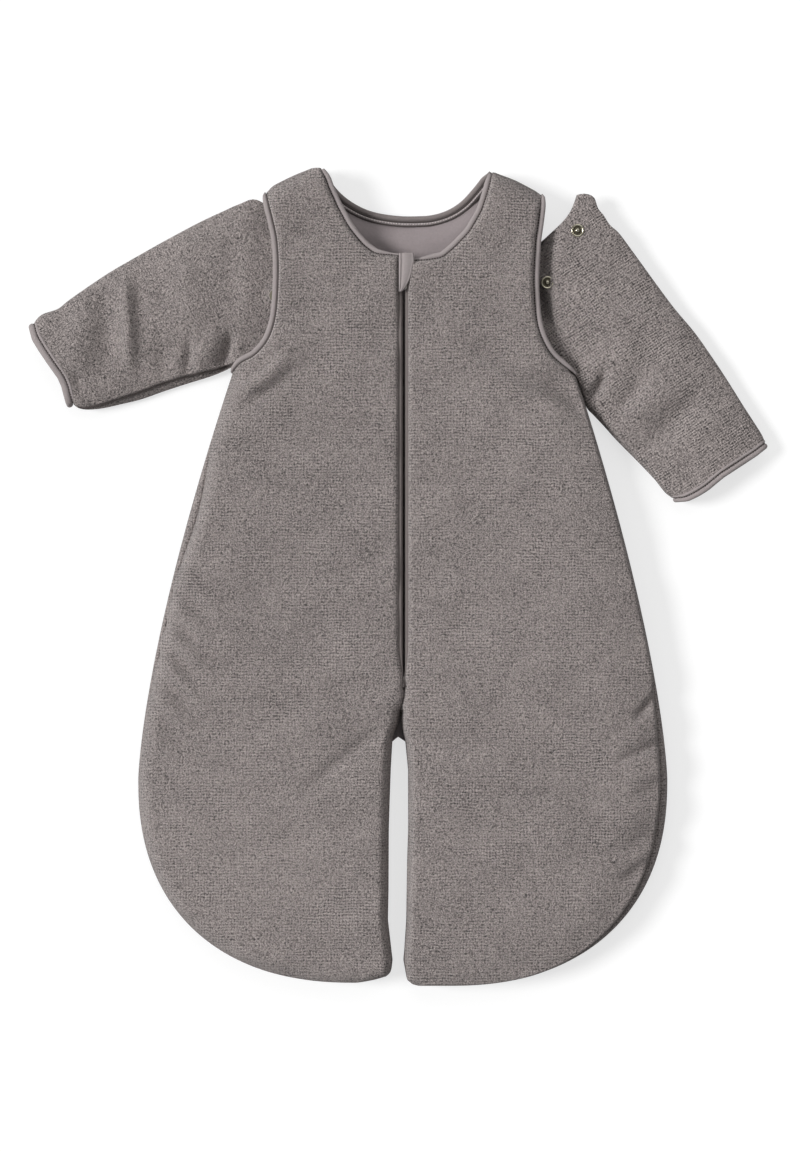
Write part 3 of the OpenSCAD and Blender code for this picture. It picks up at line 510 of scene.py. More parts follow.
# Folds: from, to, how wide, how high, how bent
FRONT_FOLDS = {
    LEFT: [((148, 151), (90, 194), 8, 5.2, 2), ((144, 142), (88, 180), 6, -4, 2),
           ((138, 168), (112, 182), 2.5, -1.2, 0), ((104, 292), (70, 268), 9, -1.6, 3),
           ((6, -121), (96, -196), 5, -3.6, 3), ((30, -122), (98, -176), 8, 1.6, 3),
           ((28, -190), (62, -236), 7, -1.5, 2), ((20, 62), (78, 46), 9, -1.4, 3),
           ((60, 28), (130, 22), 12, -1.4, 4), ((150, -230), (90, -300), 16, 1.2, 6),
           ((44, -60), (96, -44), 14, -1.4, 4), ((16, 96), (60, 84), 5, 1.6, 2)],
    RIGHT: [((38, 203), (140, 144), 2.6, 4.6, -2), ((56, 209), (154, 154), 7, -4, -2),
            ((116, 168), (160, 138), 8, -4.2, 2), ((128, 160), (152, 146), 3, -1.6, 0),
            ((60, 18), (190, 12), 8, -1.8, 0), ((70, -67), (160, -62), 6, -1.4, 0),
            ((66, 52), (40, 68), 8, -1, 0), ((104, 292), (76, 262), 9, -1.6, -3),
            ((130, -150), (40, -120), 14, -1, 5), ((120, -200), (30, -240), 12, -1.2, 5),
            ((150, 40), (60, 60), 14, 1, 4), ((230, -86), (192, -126), 3.2, -5, 0),
            ((232, -136), (176, -160), 3.6, -5.5, 0), ((234, -174), (190, -187), 3.6, -5, 0),
            ((234, -217), (184, -224), 3.6, -5, 0), ((228, -232), (180, -262), 4, -5, 0),
            ((230, -116), (184, -140), 7, 2.4, 0), ((234, -158), (186, -174), 7, 2.4, 0),
            ((234, -198), (186, -205), 7, 2.4, 0), ((230, -227), (184, -243), 5, 2, 0)],
}
# Each pucker is a ridge that runs down and in from the seam, with a furrow below it
RIDGE_REACH, FURROW_REACH, REACH_BY_HEIGHT = 22, 18, 6
RIDGE_WIDE, FURROW_WIDE, FURROW_DEEP = 6.5, 6, 1.2
for y, u, high in PUCKERS:
    ridge = RIDGE_REACH + REACH_BY_HEIGHT * high
    furrow = FURROW_REACH + REACH_BY_HEIGHT * high
    FRONT_FOLDS[LEFT] += [
        ((u + 12, y + 10), (u - ridge, y - ridge), RIDGE_WIDE, high, 2),
        ((u + 14, y - 1), (u - furrow, y - 16 - furrow), FURROW_WIDE, -FURROW_DEEP * high, 2)]


def zip_u(y, side):
    """Half width of the groove along the zip, which closes to a point at its end"""
    return GROOVE_TIP + (GROOVE[side] - GROOVE_TIP) * ramp(y, ZIP_END, ZIP_END + GROOVE_CLOSES)


def front_edges(side):
    """Levels of a front with its inner and outer edge"""
    legs = np.concatenate([hem_levels(side), np.arange(HIP_LEVEL + 3, FRONT_CROTCH - 1, 3)])
    seam = np.linspace(FRONT_CROTCH, ZIP_END, 8)
    neck = climbing(through(FRONT_NECK[side], 2.2))
    by_zip = np.linspace(ZIP_END + ZIP_ROW, neck[0, 1], 124)
    y = np.concatenate([legs, seam, by_zip, neck[1:, 1]])
    join = JOIN_GAP - JOIN_SHIFT * side * ramp(seam, ZIP_END, FRONT_CROTCH)
    inner = np.concatenate([slit_u(legs, side), join, zip_u(by_zip, side), neck[1:, 0]])
    outer = outer_u(y, side) - np.where(y < UNDERARM_LEVEL, front_inset(y, side), 0)
    return y, inner, np.maximum(outer, inner + LEAST_WIDE), len(legs), len(legs) + len(seam)


def fold(u, y, start, end, wide, high, bend=0):
    """Soft ridge from start to end, or a valley where high is below zero"""
    du, dy = end[0] - start[0], end[1] - start[1]
    size = math.hypot(du, dy)
    along = ((u - start[0]) * du + (y - start[1]) * dy) / size ** 2
    off = ((u - start[0]) * dy - (y - start[1]) * du) / size + bend * 4 * along * (1 - along)
    return high * np.exp(-(off / wide) ** 2) * smooth(3 * along) * smooth(3 * (1 - along))


def front_height(side, u, y):
    """Upper face of a front and its lining below it"""
    level, inner, outer, crotch, zip_end = front_edges(side)
    edge = np.stack([outer, level], 1)
    rim = np.stack([inner, level], 1)
    seam = np.vstack([[inner[0], level[0]], edge[level < UNDERARM_LEVEL]])
    seam_gap = gap_to(u, y, seam)
    slit_gap = gap_to(u, y, rim[:crotch + 1])
    rise = plump(nearest_of(seam_gap / CROWN[side], slit_gap / SLIT_CROWN[side],
                            gap_to(u, y, edge[level > ARMHOLE[side][-1][1]]) / SHOULDER_CROWN),
                 seam_gap, side)
    open_gap = np.minimum(gap_to(u, y, rim[zip_end:]), gap_to(u, y, through(ARMHOLE[side], 1.5)))
    thin = 1 - swell(open_gap / FRONT_EDGE)
    join = 1 - swell(gap_to(u, y, rim[crotch:zip_end + 1]) / JOIN_WIDE)
    soft = sum(fold(u, y, *f) for f in FRONT_FOLDS[side]) + FRONT_EASE * uneven(u, y, 1.3 + side)
    by_seam = np.exp(-seam_gap / GATHER_FADE) * (1 - np.exp(-seam_gap / GATHER_START))
    gathers = np.sin(GATHER_TURN * y + GATHER_SWAY * np.sin(GATHER_SWAY_TURN * y + side))
    soft = soft + GATHER_HIGH * gathers * by_seam
    soft = soft * np.minimum(1, 1.5 * rise) * (1 - thin)
    top = SEAM_TOP + FRONT_RISE * rise - EDGE_DOWN * thin * rise - JOIN_DOWN * join + soft
    under = SEAM_MIDDLE + FRONT_LINING_RISE * rise + LINING_EDGE_UP * thin * rise
    under = under - JOIN_LINING_DOWN * join + 0.5 * soft
    return top, np.minimum(under, top - LEAST_THICK)


# Each front's hinge in the frame, and the curl of cloth within which a front's fold would turn
FOLD_CURL, FOLD_LEVELS = 21, (-15, 95)
hinges = {joint["child"]: joint for joint in frame["joints"]}


def fold_share(u, y, side):
    """How far a point goes with the folding front: not at all at the fold, wholly some way inside"""
    hinge = hinges["flap_" + NAMES[side]]
    foot = np.array(hinge["pos_m"]) / MM
    inside = (y - foot[1]) * hinge["axis"][0] - (u - side * foot[0]) * side * hinge["axis"][1]
    return smooth(inside / FOLD_CURL) * ramp(y, *FOLD_LEVELS)


def folding(piece, side):
    """Bakes a cloth piece's place into its mesh and works out how far each of its points would go with the
    upper front of its side
    """
    foot = Vector(hinges["flap_" + NAMES[side]]["pos_m"])
    inside = foot - Vector((side * FOLD_CURL * MM, 0, 0))
    "flap_" + NAMES[side]
    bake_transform(piece)
    at = np.array([v.co for v in piece.data.vertices]) / MM
    share = fold_share(side * at[:, 0], at[:, 1], side)


def never(i, k):
    """Nothing stays open"""
    return False


RIM_SHARES, RIM_OUT, RIM_BULGE = (0.35, 0.7), 0.3, 0.5
HEM_DOWN = 1
for side in (LEFT, RIGHT):
    level, inner, outer, _, _ = front_edges(side)
    u = inner[:, None] + (outer - inner)[:, None] * columns(78)
    y = np.repeat(level[:, None], u.shape[1], 1)
    top, under = front_height(side, u, y)
    top[0] = under[0] = SEAM_TOP - HEM_DOWN
    rim_u = np.repeat(outer[:, None] + RIM_OUT, len(RIM_SHARES), 1)
    rim_z = top[:, -1:] + (under[:, -1:] - top[:, -1:]) * np.array(RIM_SHARES)
    loops = pad_loops(side, u, y, top, under, np.full(len(level), RIM_BULGE), (rim_u, rim_z))
    strips = [0] * (u.shape[1] + 1) + [1] * u.shape[1] + [0] * 3
    front = sew("front_" + NAMES[side], [(loops, strips, never, (len(level) - 1,))],
                [body_plush, lining_jersey])
    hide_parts(*[part + NAMES[side] for part in (
        "front_shell_", "front_wadding_", "front_lining_", "flap_shell_", "flap_wadding_", "flap_lining_")])
    folding(front, side)


# Bindings: strips of jersey rolled round the open edges of neck and armholes, stitched beside the plush.
# The neck has one roll on each front and one along the back, with a flat inner edge stitched on the lining.
BINDING = (0.315, 0.279, 0.276)
BIND_WIDE, BIND_HIGH, BIND_OFF = 4.7, 5.0, 0.35
binding_jersey = jersey("binding_jersey", BINDING, rib=0.8)
# A darker copy of the binding's jersey for the back's roll: painted shade where the roll faces away from
# the light
shaded_roll_jersey = jersey("binding_painted_shade", (0.21, 0.183, 0.178), rib=0.8)
# One thread in two copies: a light one with painted light and a dark one with painted shade. The dark one
# also makes thin strips of painted shade along grooves and seams.
thread_painted_light = jersey("thread_painted_light", (0.52, 0.465, 0.46), rib=0.5)
thread_painted_shade = jersey("thread_painted_shade", (0.075, 0.062, 0.059), rib=0.5)
STITCH_EVERY, STITCH_LONG, STITCH_THICK = 2.3, 1.3, 1.0
# The neck's roll grows from the zip outwards and tapers at the shoulder
NECK_ROLL_LEAST, NECK_ROLL_GROWS = 0.4, (6, 28)
NECK_ROLL_TAPER = (0.97, 0.9, 0.8, 0.66, 0.45)
NECK_STITCH_OUT, NECK_STITCH_SUNK = 0.5, 0.9
# The left armhole's stitches take the thread with painted light, the right's the thread with painted shade
ARMHOLE_THREAD = {LEFT: thread_painted_light, RIGHT: thread_painted_shade}
# Armhole stitches: how far out, how high, how long, how thick
ARMHOLE_STITCH = {LEFT: (-1.0, 0.3, 1.6, 1.4), RIGHT: (0.5, 1.6, 1.3, 1.0)}
# Strip of painted shade beside the left armhole's roll: how far out, how far up, how wide, how high
ARMHOLE_SHADE_STRIP = (-0.75, 1.9, 1.1, 1.6)
ARMHOLE_ROLL_LEAST, ARMHOLE_TAPER = 0.3, 14
ARMHOLE_STITCHED = slice(6, -4)
BACK_ARMHOLE_LEAST, BACK_ARMHOLE_DOWN = 5.2, 0.95
BACK_ROLL_WIDE, BACK_ROLL_HIGH = 5.0, 6.2
BACK_ROLL_LOW, BACK_ROLL_CLIMB, BACK_ROLL_LEVELS = 7.8, 8.6, (318, 348)
BACK_ROLL_LEAST, BACK_ROLL_TAPER = 0.55, 4
# The back's stitched band, with a thin strip of painted shade on each side of it where the groove is: how
# far out, wide, up, high, which cloth
BACK_BANDS = ((-0.6, 1.3, 2.2, 1.6, 3), (-2.9, 2.2, 2.5, 2.2, 2), (-4.1, 1.2, 2.2, 1.6, 3))
BACK_STITCH = (-1.7, 3.5, 2.4, 1.5, 1.3)
UP = np.array([0, 0, 1.0])


def unit(v):
    """Directions of length one"""
    return v / np.maximum(np.linalg.norm(v, axis=1, keepdims=True), 1e-9)


def rolled(path, out, wide=BIND_WIDE, high=BIND_HIGH, share=1.0, sides=14):
    """Loops of a roll along a cloth's edge. out points away from the cloth at each point of the path."""
    run = np.gradient(path, axis=0)
    out = unit(out)
    up = unit(np.cross(unit(run), out))
    up *= np.where(up[:, 2:] < 0, -1, 1)
    turn = np.linspace(0, 2 * np.pi, sides, endpoint=False)
    share = np.broadcast_to(np.asarray(share, float), (len(path),))[:, None, None]
    across = (0.5 * wide * np.cos(turn) + 0.5 * wide + BIND_OFF)[None, :, None]
    lift = (0.5 * high * np.sign(np.sin(turn)) * np.abs(np.sin(turn)) ** 0.8)[None, :, None]
    return path[:, None] + out[:, None] * across * share + up[:, None] * lift * np.minimum(1, share + 0.2)


def stitches(path, out, up, every=STITCH_EVERY, long=STITCH_LONG, thick=STITCH_THICK):
    """Loops of a row of short stitches, one stack for each"""
    run = np.concatenate([[0], np.cumsum(np.linalg.norm(np.diff(path, axis=0), axis=1))])
    up = np.broadcast_to(up, path.shape)
    stacks = []
    for at in np.arange(every, run[-1] - every, every):
        middle = np.array([np.interp(at, run, path[:, k]) for k in range(3)])
        ahead = np.array([np.interp(at + 0.4, run, path[:, k]) for k in range(3)]) - middle
        ahead /= np.linalg.norm(ahead)
        side_way = np.array([np.interp(at, run, out[:, k]) for k in range(3)])
        up_way = np.array([np.interp(at, run, up[:, k]) for k in range(3)])
        turn = np.linspace(0, 2 * np.pi, 6, endpoint=False)[:, None]
        ring = thick / 2 * (np.cos(turn) * side_way + np.sin(turn) * up_way)
        loops = np.stack([middle + ahead * long * (t - 0.5) + ring * wide
                          for t, wide in ((0, 0.35), (0.22, 1), (0.78, 1), (1, 0.35))])
        stacks.append((loops, [1] * 6, never, (0, 3)))
    return stacks


def roll_stack(loops, cloth_index=0):
    """A roll closed at both ends, all of one cloth"""
    return loops, [cloth_index] * loops.shape[1], never, (0, len(loops) - 1)


def edge_out(path, side_of_neck):
    """Directions in the sheet's plane that point away from the cloth along its edge"""
    run = np.gradient(path, axis=0)
    run[:, 2] = 0
    return unit(np.stack([-run[:, 1], run[:, 0], 0 * run[:, 0]], 1) * side_of_neck)


for side in (LEFT, RIGHT):
    line = climbing(through(FRONT_NECK[side], 2.4))
    top, under = front_height(side, line[:, 0], line[:, 1])
    path = np.stack([side * line[:, 0], line[:, 1], (top + under) / 2], 1)
    out = edge_out(path, side)
    share = NECK_ROLL_LEAST + (1 - NECK_ROLL_LEAST) * ramp(line[:, 0], *NECK_ROLL_GROWS)
    share[-len(NECK_ROLL_TAPER):] *= NECK_ROLL_TAPER
    roll = rolled(path[:-1], out[:-1], share=share[:-1])
    seat = (path + NECK_STITCH_OUT * out + UP * (BIND_HIGH / 2 - NECK_STITCH_SUNK))[2:-2]
    rows = stitches(seat, out[2:-2], UP)
    # The neck's stitches take the thread with painted shade
    binding = sew("neck_binding_" + NAMES[side], [roll_stack(roll)] + rows, [binding_jersey, thread_painted_shade])
    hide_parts("neck_binding_" + NAMES[side])
    folding(binding, side)

back_line = np.vstack([np.array(BACK_NECK[LEFT][::-1]) * (-1, 1), np.array(BACK_NECK[RIGHT])[1:]])
back_line = through(back_line, 2.4)
climb = ramp(back_line[:, 1], *BACK_ROLL_LEVELS)
path = np.column_stack([back_line, BACK_ROLL_LOW + BACK_ROLL_CLIMB * climb])
out = edge_out(path, 1)
ends = np.minimum(np.arange(len(path)), np.arange(len(path))[::-1])
narrow = BACK_ROLL_LEAST + (1 - BACK_ROLL_LEAST) * smooth(ends / BACK_ROLL_TAPER)
stacks = [roll_stack(rolled(path, out, BACK_ROLL_WIDE, BACK_ROLL_HIGH, narrow))]
for away, wide, lift, high, cloth_index in BACK_BANDS:
    band = rolled(path + (away - BIND_OFF) * out + lift * UP, out, wide, high)
    stacks.append(roll_stack(band, cloth_index))
# The back's stitches take the thread with painted light
away, lift, every, long, thick = BACK_STITCH
seat = path + away * out + lift * UP
stacks += stitches(seat, out, UP, every, long, thick)
# The back's roll takes the binding's jersey with painted shade
binding = sew("neck_binding_back", stacks, [shaded_roll_jersey, thread_painted_light, binding_jersey, thread_painted_shade])
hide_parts("neck_binding_back")
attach(binding, "bag")

for side in (LEFT, RIGHT):
    line = climbing(through(ARMHOLE[side], 2.4))
    top, under = front_height(side, line[:, 0], line[:, 1])
    front_path = np.stack([side * line[:, 0], line[:, 1], (top + under) / 2], 1)
    back_z = np.maximum(2 * SEAM_MIDDLE - BACK_ARMHOLE_DOWN * (top + under) / 2, BACK_ARMHOLE_LEAST)
    back_path = np.stack([side * line[:, 0], line[:, 1], back_z], 1)
    ends = np.minimum(line[:, 1] - line[0, 1], line[-1, 1] - line[:, 1])
    taper = ARMHOLE_ROLL_LEAST + (1 - ARMHOLE_ROLL_LEAST) * swell(ends / ARMHOLE_TAPER)
    stacks = []
    for path in (front_path, back_path):
        out = edge_out(path, -side)
        stacks.append(roll_stack(rolled(path, out, share=taper)))
    out = edge_out(front_path, -side)
    away, lift, long, thick = ARMHOLE_STITCH[side]
    seat = front_path + away * out + lift * UP
    if side == LEFT:
        # A thin strip of painted shade beside the roll, and the stitches, in the thread with painted light,
        # on the plush's edge
        seat[:, 2] = front_height(side, side * seat[:, 0], seat[:, 1])[0] + lift
        strip_away, strip_lift, wide, high = ARMHOLE_SHADE_STRIP
        shade_strip = rolled(front_path + strip_away * out + strip_lift * UP, out, wide, high, taper)
        stacks.append(roll_stack(shade_strip, 2))
    stacks += stitches(seat[ARMHOLE_STITCHED], out[ARMHOLE_STITCHED], UP, STITCH_EVERY, long, thick)
    binding = sew("armhole_binding_" + NAMES[side], stacks,
                  [binding_jersey, ARMHOLE_THREAD[side], thread_painted_shade])
    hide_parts("armhole_binding_" + NAMES[side])
    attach(binding, "bag")


# Zip: two woven tapes, each with a nylon coil sewn under its folded edge, sewn in under the fronts' edges.
# The tapes close to a point above the seam between the legs.
# The tapes' colour, made darker in part as painted shade of the groove they lie in
ZIP_TAPE = (0.175, 0.151, 0.146)
TAPE_SECTION = [(8.5, 35.25), (3.9, 35.5), (3.2, 35.7), (2.5, 35.7), (2.0, 35.5), (1.8, 35.1), (2.0, 34.6),
                (3.9, 34.6), (8.5, 34.65)]
TAPE_TOP_LEVEL = 268
COIL_RADIUS, COIL_PITCH = 1.05, 1.5
COIL_OUT, COIL_UP, COIL_RUN = 1.85, 33.45, (-85, 255)
tape_weave = jersey("zip_tape", ZIP_TAPE, rib=0.6)


def nylon(yarn):
    """Dark nylon, a little specked; its darkness is in part painted shade of the gap between the tapes"""
    speck = yarn.node("ShaderNodeTexNoise", None, {"Vector": in_mm(yarn), "Scale": 1.2, "Detail": 2.0})
    return speck.between((0.12, 0.104, 0.1), (0.19, 0.166, 0.16)), 0.1 * speck


coil_nylon = cloth("coil_nylon", 0.45, 0.0, nylon)
for side in (LEFT, RIGHT):
    y = np.linspace(ZIP_END + 3, TAPE_TOP_LEVEL, 130)
    section = np.array(TAPE_SECTION)
    squeeze = ramp(y, ZIP_END, ZIP_END + GROOVE_CLOSES)[:, None]
    us = np.where(section[:, 0] < 4, section[:, 0] * squeeze + 0.15, section[:, 0] * (0.4 + 0.6 * squeeze))
    zs = np.broadcast_to(section[:, 1], us.shape)
    loops = np.stack([side * us, np.repeat(y[:, None], us.shape[1], 1), zs], 2)
    tape = sew("zip_tape_" + NAMES[side] + "_cloth", [roll_stack(loops)], [tape_weave])
    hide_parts("zip_tape_" + NAMES[side], *(["zip_tape_end"] if side == LEFT else []))
    folding(tape, side)
    y = np.arange(*COIL_RUN, COIL_PITCH / 4)
    turn = np.linspace(0, 2 * np.pi, 8, endpoint=False)
    radius = COIL_RADIUS * (0.84 + 0.16 * np.cos(2 * np.pi * y / COIL_PITCH))[:, None]
    loops = np.stack([side * (COIL_OUT + radius * np.cos(turn)), np.repeat(y[:, None], 8, 1),
                      COIL_UP + radius * np.sin(turn)], 2)
    coil = sew("zip_coil_" + NAMES[side] + "_turns", [roll_stack(loops)], [coil_nylon])
    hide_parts("zip_coil_" + NAMES[side], *(["zip_coil_end"] if side == LEFT else []))
    folding(coil, side)


# Slider, pull tab and stops: die-cast zinc, kept as the solids are. The slider runs on the coils with the
# pull tab pinned to it, and the stops are pressed round the tapes' ends.
def metal(name, dark, light, rough):
    """Plated metal, a little worn and uneven"""
    material, tree, shader = blank(name)
    yarn = Yarn(tree)
    wear = yarn.node("ShaderNodeTexNoise", None, {"Vector": in_mm(yarn), "Scale": 0.8, "Detail": 4.0})
    tree.links.new(wear.between(dark, light).socket, shader.inputs["Base Color"])
    tree.links.new((rough + 0.2 * (wear - 0.5)).socket, shader.inputs["Roughness"])
    shader.inputs["Metallic"].default_value = 1.0
    return material


def finish_node(name, material):
    """Gives a kept solid its finish"""
    solid = bpy.data.objects[name]
    solid.data.materials.clear()
    solid.data.materials.append(material)


zinc = metal("zip_zinc", (0.30, 0.28, 0.26), (0.52, 0.49, 0.46), 0.34)
for name in ("zip_slider", "pull_tab", "zip_stop_end", "zip_stop_left", "zip_stop_right"):
    finish_node(name, zinc)


# Chin guard: a leaf of doubled jersey that keeps the slider off the chin. It is sewn along its left edge
# beside the zip and turned over the slider.
GUARD_EDGE = [(276.4, 7.8), (273.8, 8.3), (268.8, 8.4), (264.2, 7.5), (259.9, 6.5), (254.6, 5.0),
              (250.3, 2.9), (246.4, 0.4), (243.4, -2.0)]
GUARD_LEFT = -4.0
GUARD_UP, GUARD_ARCH, GUARD_HALF = 39.1, 1.3, 0.55
GUARD_ROUND = 0.45
# Ridges and furrows along the leaf: where across it, how wide, how high
GUARD_RIDGES = [(0.06, 0.07, 0.9), (0.2, 0.06, -0.5), (0.94, 0.05, 0.5)]
y = np.linspace(GUARD_EDGE[0][0], GUARD_EDGE[-1][0], 40)
right = np.interp(-y, [-p[0] for p in GUARD_EDGE], [p[1] for p in GUARD_EDGE])
share = np.linspace(0, 1, 22)
x = GUARD_LEFT + (right - GUARD_LEFT)[:, None] * share
ys = np.repeat(y[:, None], len(share), 1)
arch = GUARD_UP + GUARD_ARCH * np.sin(np.pi * share)
for at, wide, high in GUARD_RIDGES:
    arch += high * np.exp(-((share - at) / wide) ** 2)
zs = arch[None, :] + 0.25 * np.sin(ys / 6)
upper = np.stack([x, ys, zs + GUARD_HALF], 2)
lower = np.stack([x, ys, zs - GUARD_HALF], 2)[:, ::-1]
edge_right = (upper[:, -1:] + lower[:, :1]) / 2 + np.array([GUARD_ROUND, 0, 0])
edge_left = (upper[:, :1] + lower[:, -1:]) / 2 - np.array([GUARD_ROUND, 0, 0])
loops = np.concatenate([upper, edge_right, lower, edge_left], 1)
guard = sew("chin_guard_leaf", [roll_stack(loops)], [binding_jersey])
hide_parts("chin_guard")
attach(guard, "guard")


# Sleeves: tubes of lined plush, closed along the lower edge by a seam, with a rolled jersey cuff.
# The left one is snapped in its armhole; the right one's head lies out of it.
SLEEVE_TOP = {
    LEFT: [(90, 297), (110, 313), (127, 323.5), (141.4, 319.7), (153.4, 314.5), (175.7, 304.2),
           (204.8, 288.8), (232.2, 273.4), (252.8, 261.4), (268.2, 251.2), (283, 241), (290, 235.8),
           (294.8, 231.7), (299.4, 229.2), (309.7, 225.9), (314.5, 222.3), (317.4, 218)],
    RIGHT: [(148, 327.5), (155, 328.6), (162.8, 325.6), (166.3, 316), (171, 310.4), (176.5, 301.8),
            (185, 294), (200.5, 273.4), (216.8, 251), (232.2, 230.5), (249.4, 210), (264, 189.4),
            (277.7, 168.8), (290.5, 148.3), (302, 130.5), (307.6, 121.4), (309.8, 115.4)],
}
SLEEVE_LOW = {
    LEFT: [(112, 202), (135, 187), (150, 179), (165, 172.8), (187, 166), (206, 159.8), (225.2, 153),
           (241.6, 148.9), (258, 145.2), (268, 144), (275, 144), (280.5, 145.6), (283.5, 147.9)],
    RIGHT: [(112, 214), (126, 193), (142, 176), (149, 164.5), (154, 152), (157.4, 144.6), (163.6, 138.2),
            (173, 128.2), (182.5, 117.6), (203, 96.8), (216, 83), (220, 77.7), (225, 71.8), (230.6, 67.9)],
}
HEAD_BOW = {LEFT: 4, RIGHT: 26}
# How far the cuff's edge swings out, from its lower end, -1, to its upper end, 1
CUFF_SWING = {
    LEFT: [(-1, 0), (-0.56, -3.5), (-0.35, -3.8), (0, -1.6), (0.4, 0.6), (0.7, 1.8), (1, 0)],
    RIGHT: [(-1, 0), (-0.81, 4.4), (-0.61, 5.3), (-0.39, 5.2), (-0.19, 3.8), (0, 2.5), (0.38, 1.9),
            (0.75, 1.3), (1, 0)],
}
SLEEVE_TURN = {LEFT: -64, RIGHT: 32}
SLEEVE_FOLDS = {
    LEFT: [((240, 266), (233, 163), 5, 4.6, 0), ((259, 258), (253, 166), 9, -4, 0),
           ((228, 270), (222, 190), 8, -2.5, 0), ((285, 238), (277, 164), 12, 3, 0),
           ((188, 280), (176, 198), 14, 3, 0), ((145, 213), (156, 176), 5, -7, 0),
           ((161, 218), (170, 178), 6, 3.5, 0), ((183, 206), (186, 168), 4.5, -5, 0),
           ((173, 208), (176, 174), 6, 2.5, 0), ((207, 204), (204, 162), 6, -2.5, 0),
           ((134, 208), (143, 186), 5, 3, 0), ((293, 232), (282, 210), 5, -2.4, 0),
           ((282, 178), (275, 152), 4, -2.5, 0), ((212, 274), (206, 200), 10, -1.8, 0),
           ((150, 300), (140, 220), 12, -2, 0)],
    RIGHT: [((171, 182), (157, 153), 4, -6, 5), ((145, 174), (160, 156), 7, 4.5, 0),
            ((177, 139), (209, 182), 8, -3.6, -4), ((202, 114), (264, 168), 9, -3.6, -3),
            ((192, 107), (242, 123), 5, -2.2, 0), ((184, 128), (242, 168), 9, 2, 0),
            ((228, 108), (292, 152), 12, 2.2, 0), ((148, 320), (166, 302), 7, -3.6, 0),
            ((168, 294), (150, 279), 7, 2.6, 0), ((148, 258), (168, 247), 8, 2.2, 0),
            ((200, 268), (172, 262), 10, -1.6, 0), ((236, 210), (190, 195), 12, -1.8, 0),
            ((262, 150), (292, 132), 8, -1.6, 0)],
}
STUDS = {
    LEFT: [(109.9, 240.6, 27.2), (103.5, 283.6, 26)],
    RIGHT: [(148.6, 296.6, 24.5), (122.8, 252.3, 22)],
}
STUD_SEAT = 8.5
# Loops of the knit on each sleeve: how far apart, how orderly, how coarse
SLEEVE_KNIT = {LEFT: (LOOP_PITCH, 0.3, 1.6), RIGHT: (2.25, 0.95, 1.8)}
# Shares of the sleeve's length: the head, where it comes out of the armhole, where the cuff's swing starts
HEAD_SHARE, OUTSIDE_FROM, CUFF_FROM = 0.2, (0.16, 0.26), 0.8
HEAD_HALF, ARM_HALF_MORE, ARM_FULL_AT = 6.6, 5.4, 0.4
HEAD_MIDDLE, ARM_SINK, ARM_SUNK_AT = 19, 6.4, 0.6
# The under layer that shows below the seam, and the columns beside the seam
SEAM_PEEK, SEAM_PEEK_LEAST, SEAM_PEEK_RUN = {LEFT: 5.4, RIGHT: 0.6}, 1.6, (0.16, 0.8)
SEAM_COLUMNS = (-1.5, -0.7, 0, 0.7, 1.5, 2.6)
SEAM_WIDE, SEAM_FADE, UNDER_SLOPE = 0.9, 0.45, 0.45
SLEEVE_SOFT, SLEEVE_EASE, SLEEVE_WAVES, ARM_LINING_SOFT = 1.35, 0.5, 1.3, 0.6
# The right head's gap: how high it lies, how thick its cloths are there, from where to where, which levels
SUNK_HEAD, SUNK_HALF, SUNK_LINING_HALF = 10, 1.7, 0.6
SUNK_FROM, SUNK_TO, SUNK_LEVELS = (-6, -2), (12, 2), (208, 226)
HEAD_DIP, DIP_FROM, DIP_TO = 3.6, (-6, 4), (32, 6)
SLEEVE_LEAST_UP = 0.9
ARM_WALL = 3.6
CUFF_WIDE = {LEFT: 5.8, RIGHT: 4.9}
SEAM_STEP = {LEFT: 6, RIGHT: 3}


def cuff_way(side):
    """Direction out of a sleeve's end, square to the line between its corners"""
    top, low = np.array(SLEEVE_TOP[side][-1]), np.array(SLEEVE_LOW[side][-1])
    along = (top - low) / np.linalg.norm(top - low)
    return np.array([along[1], -along[0]])


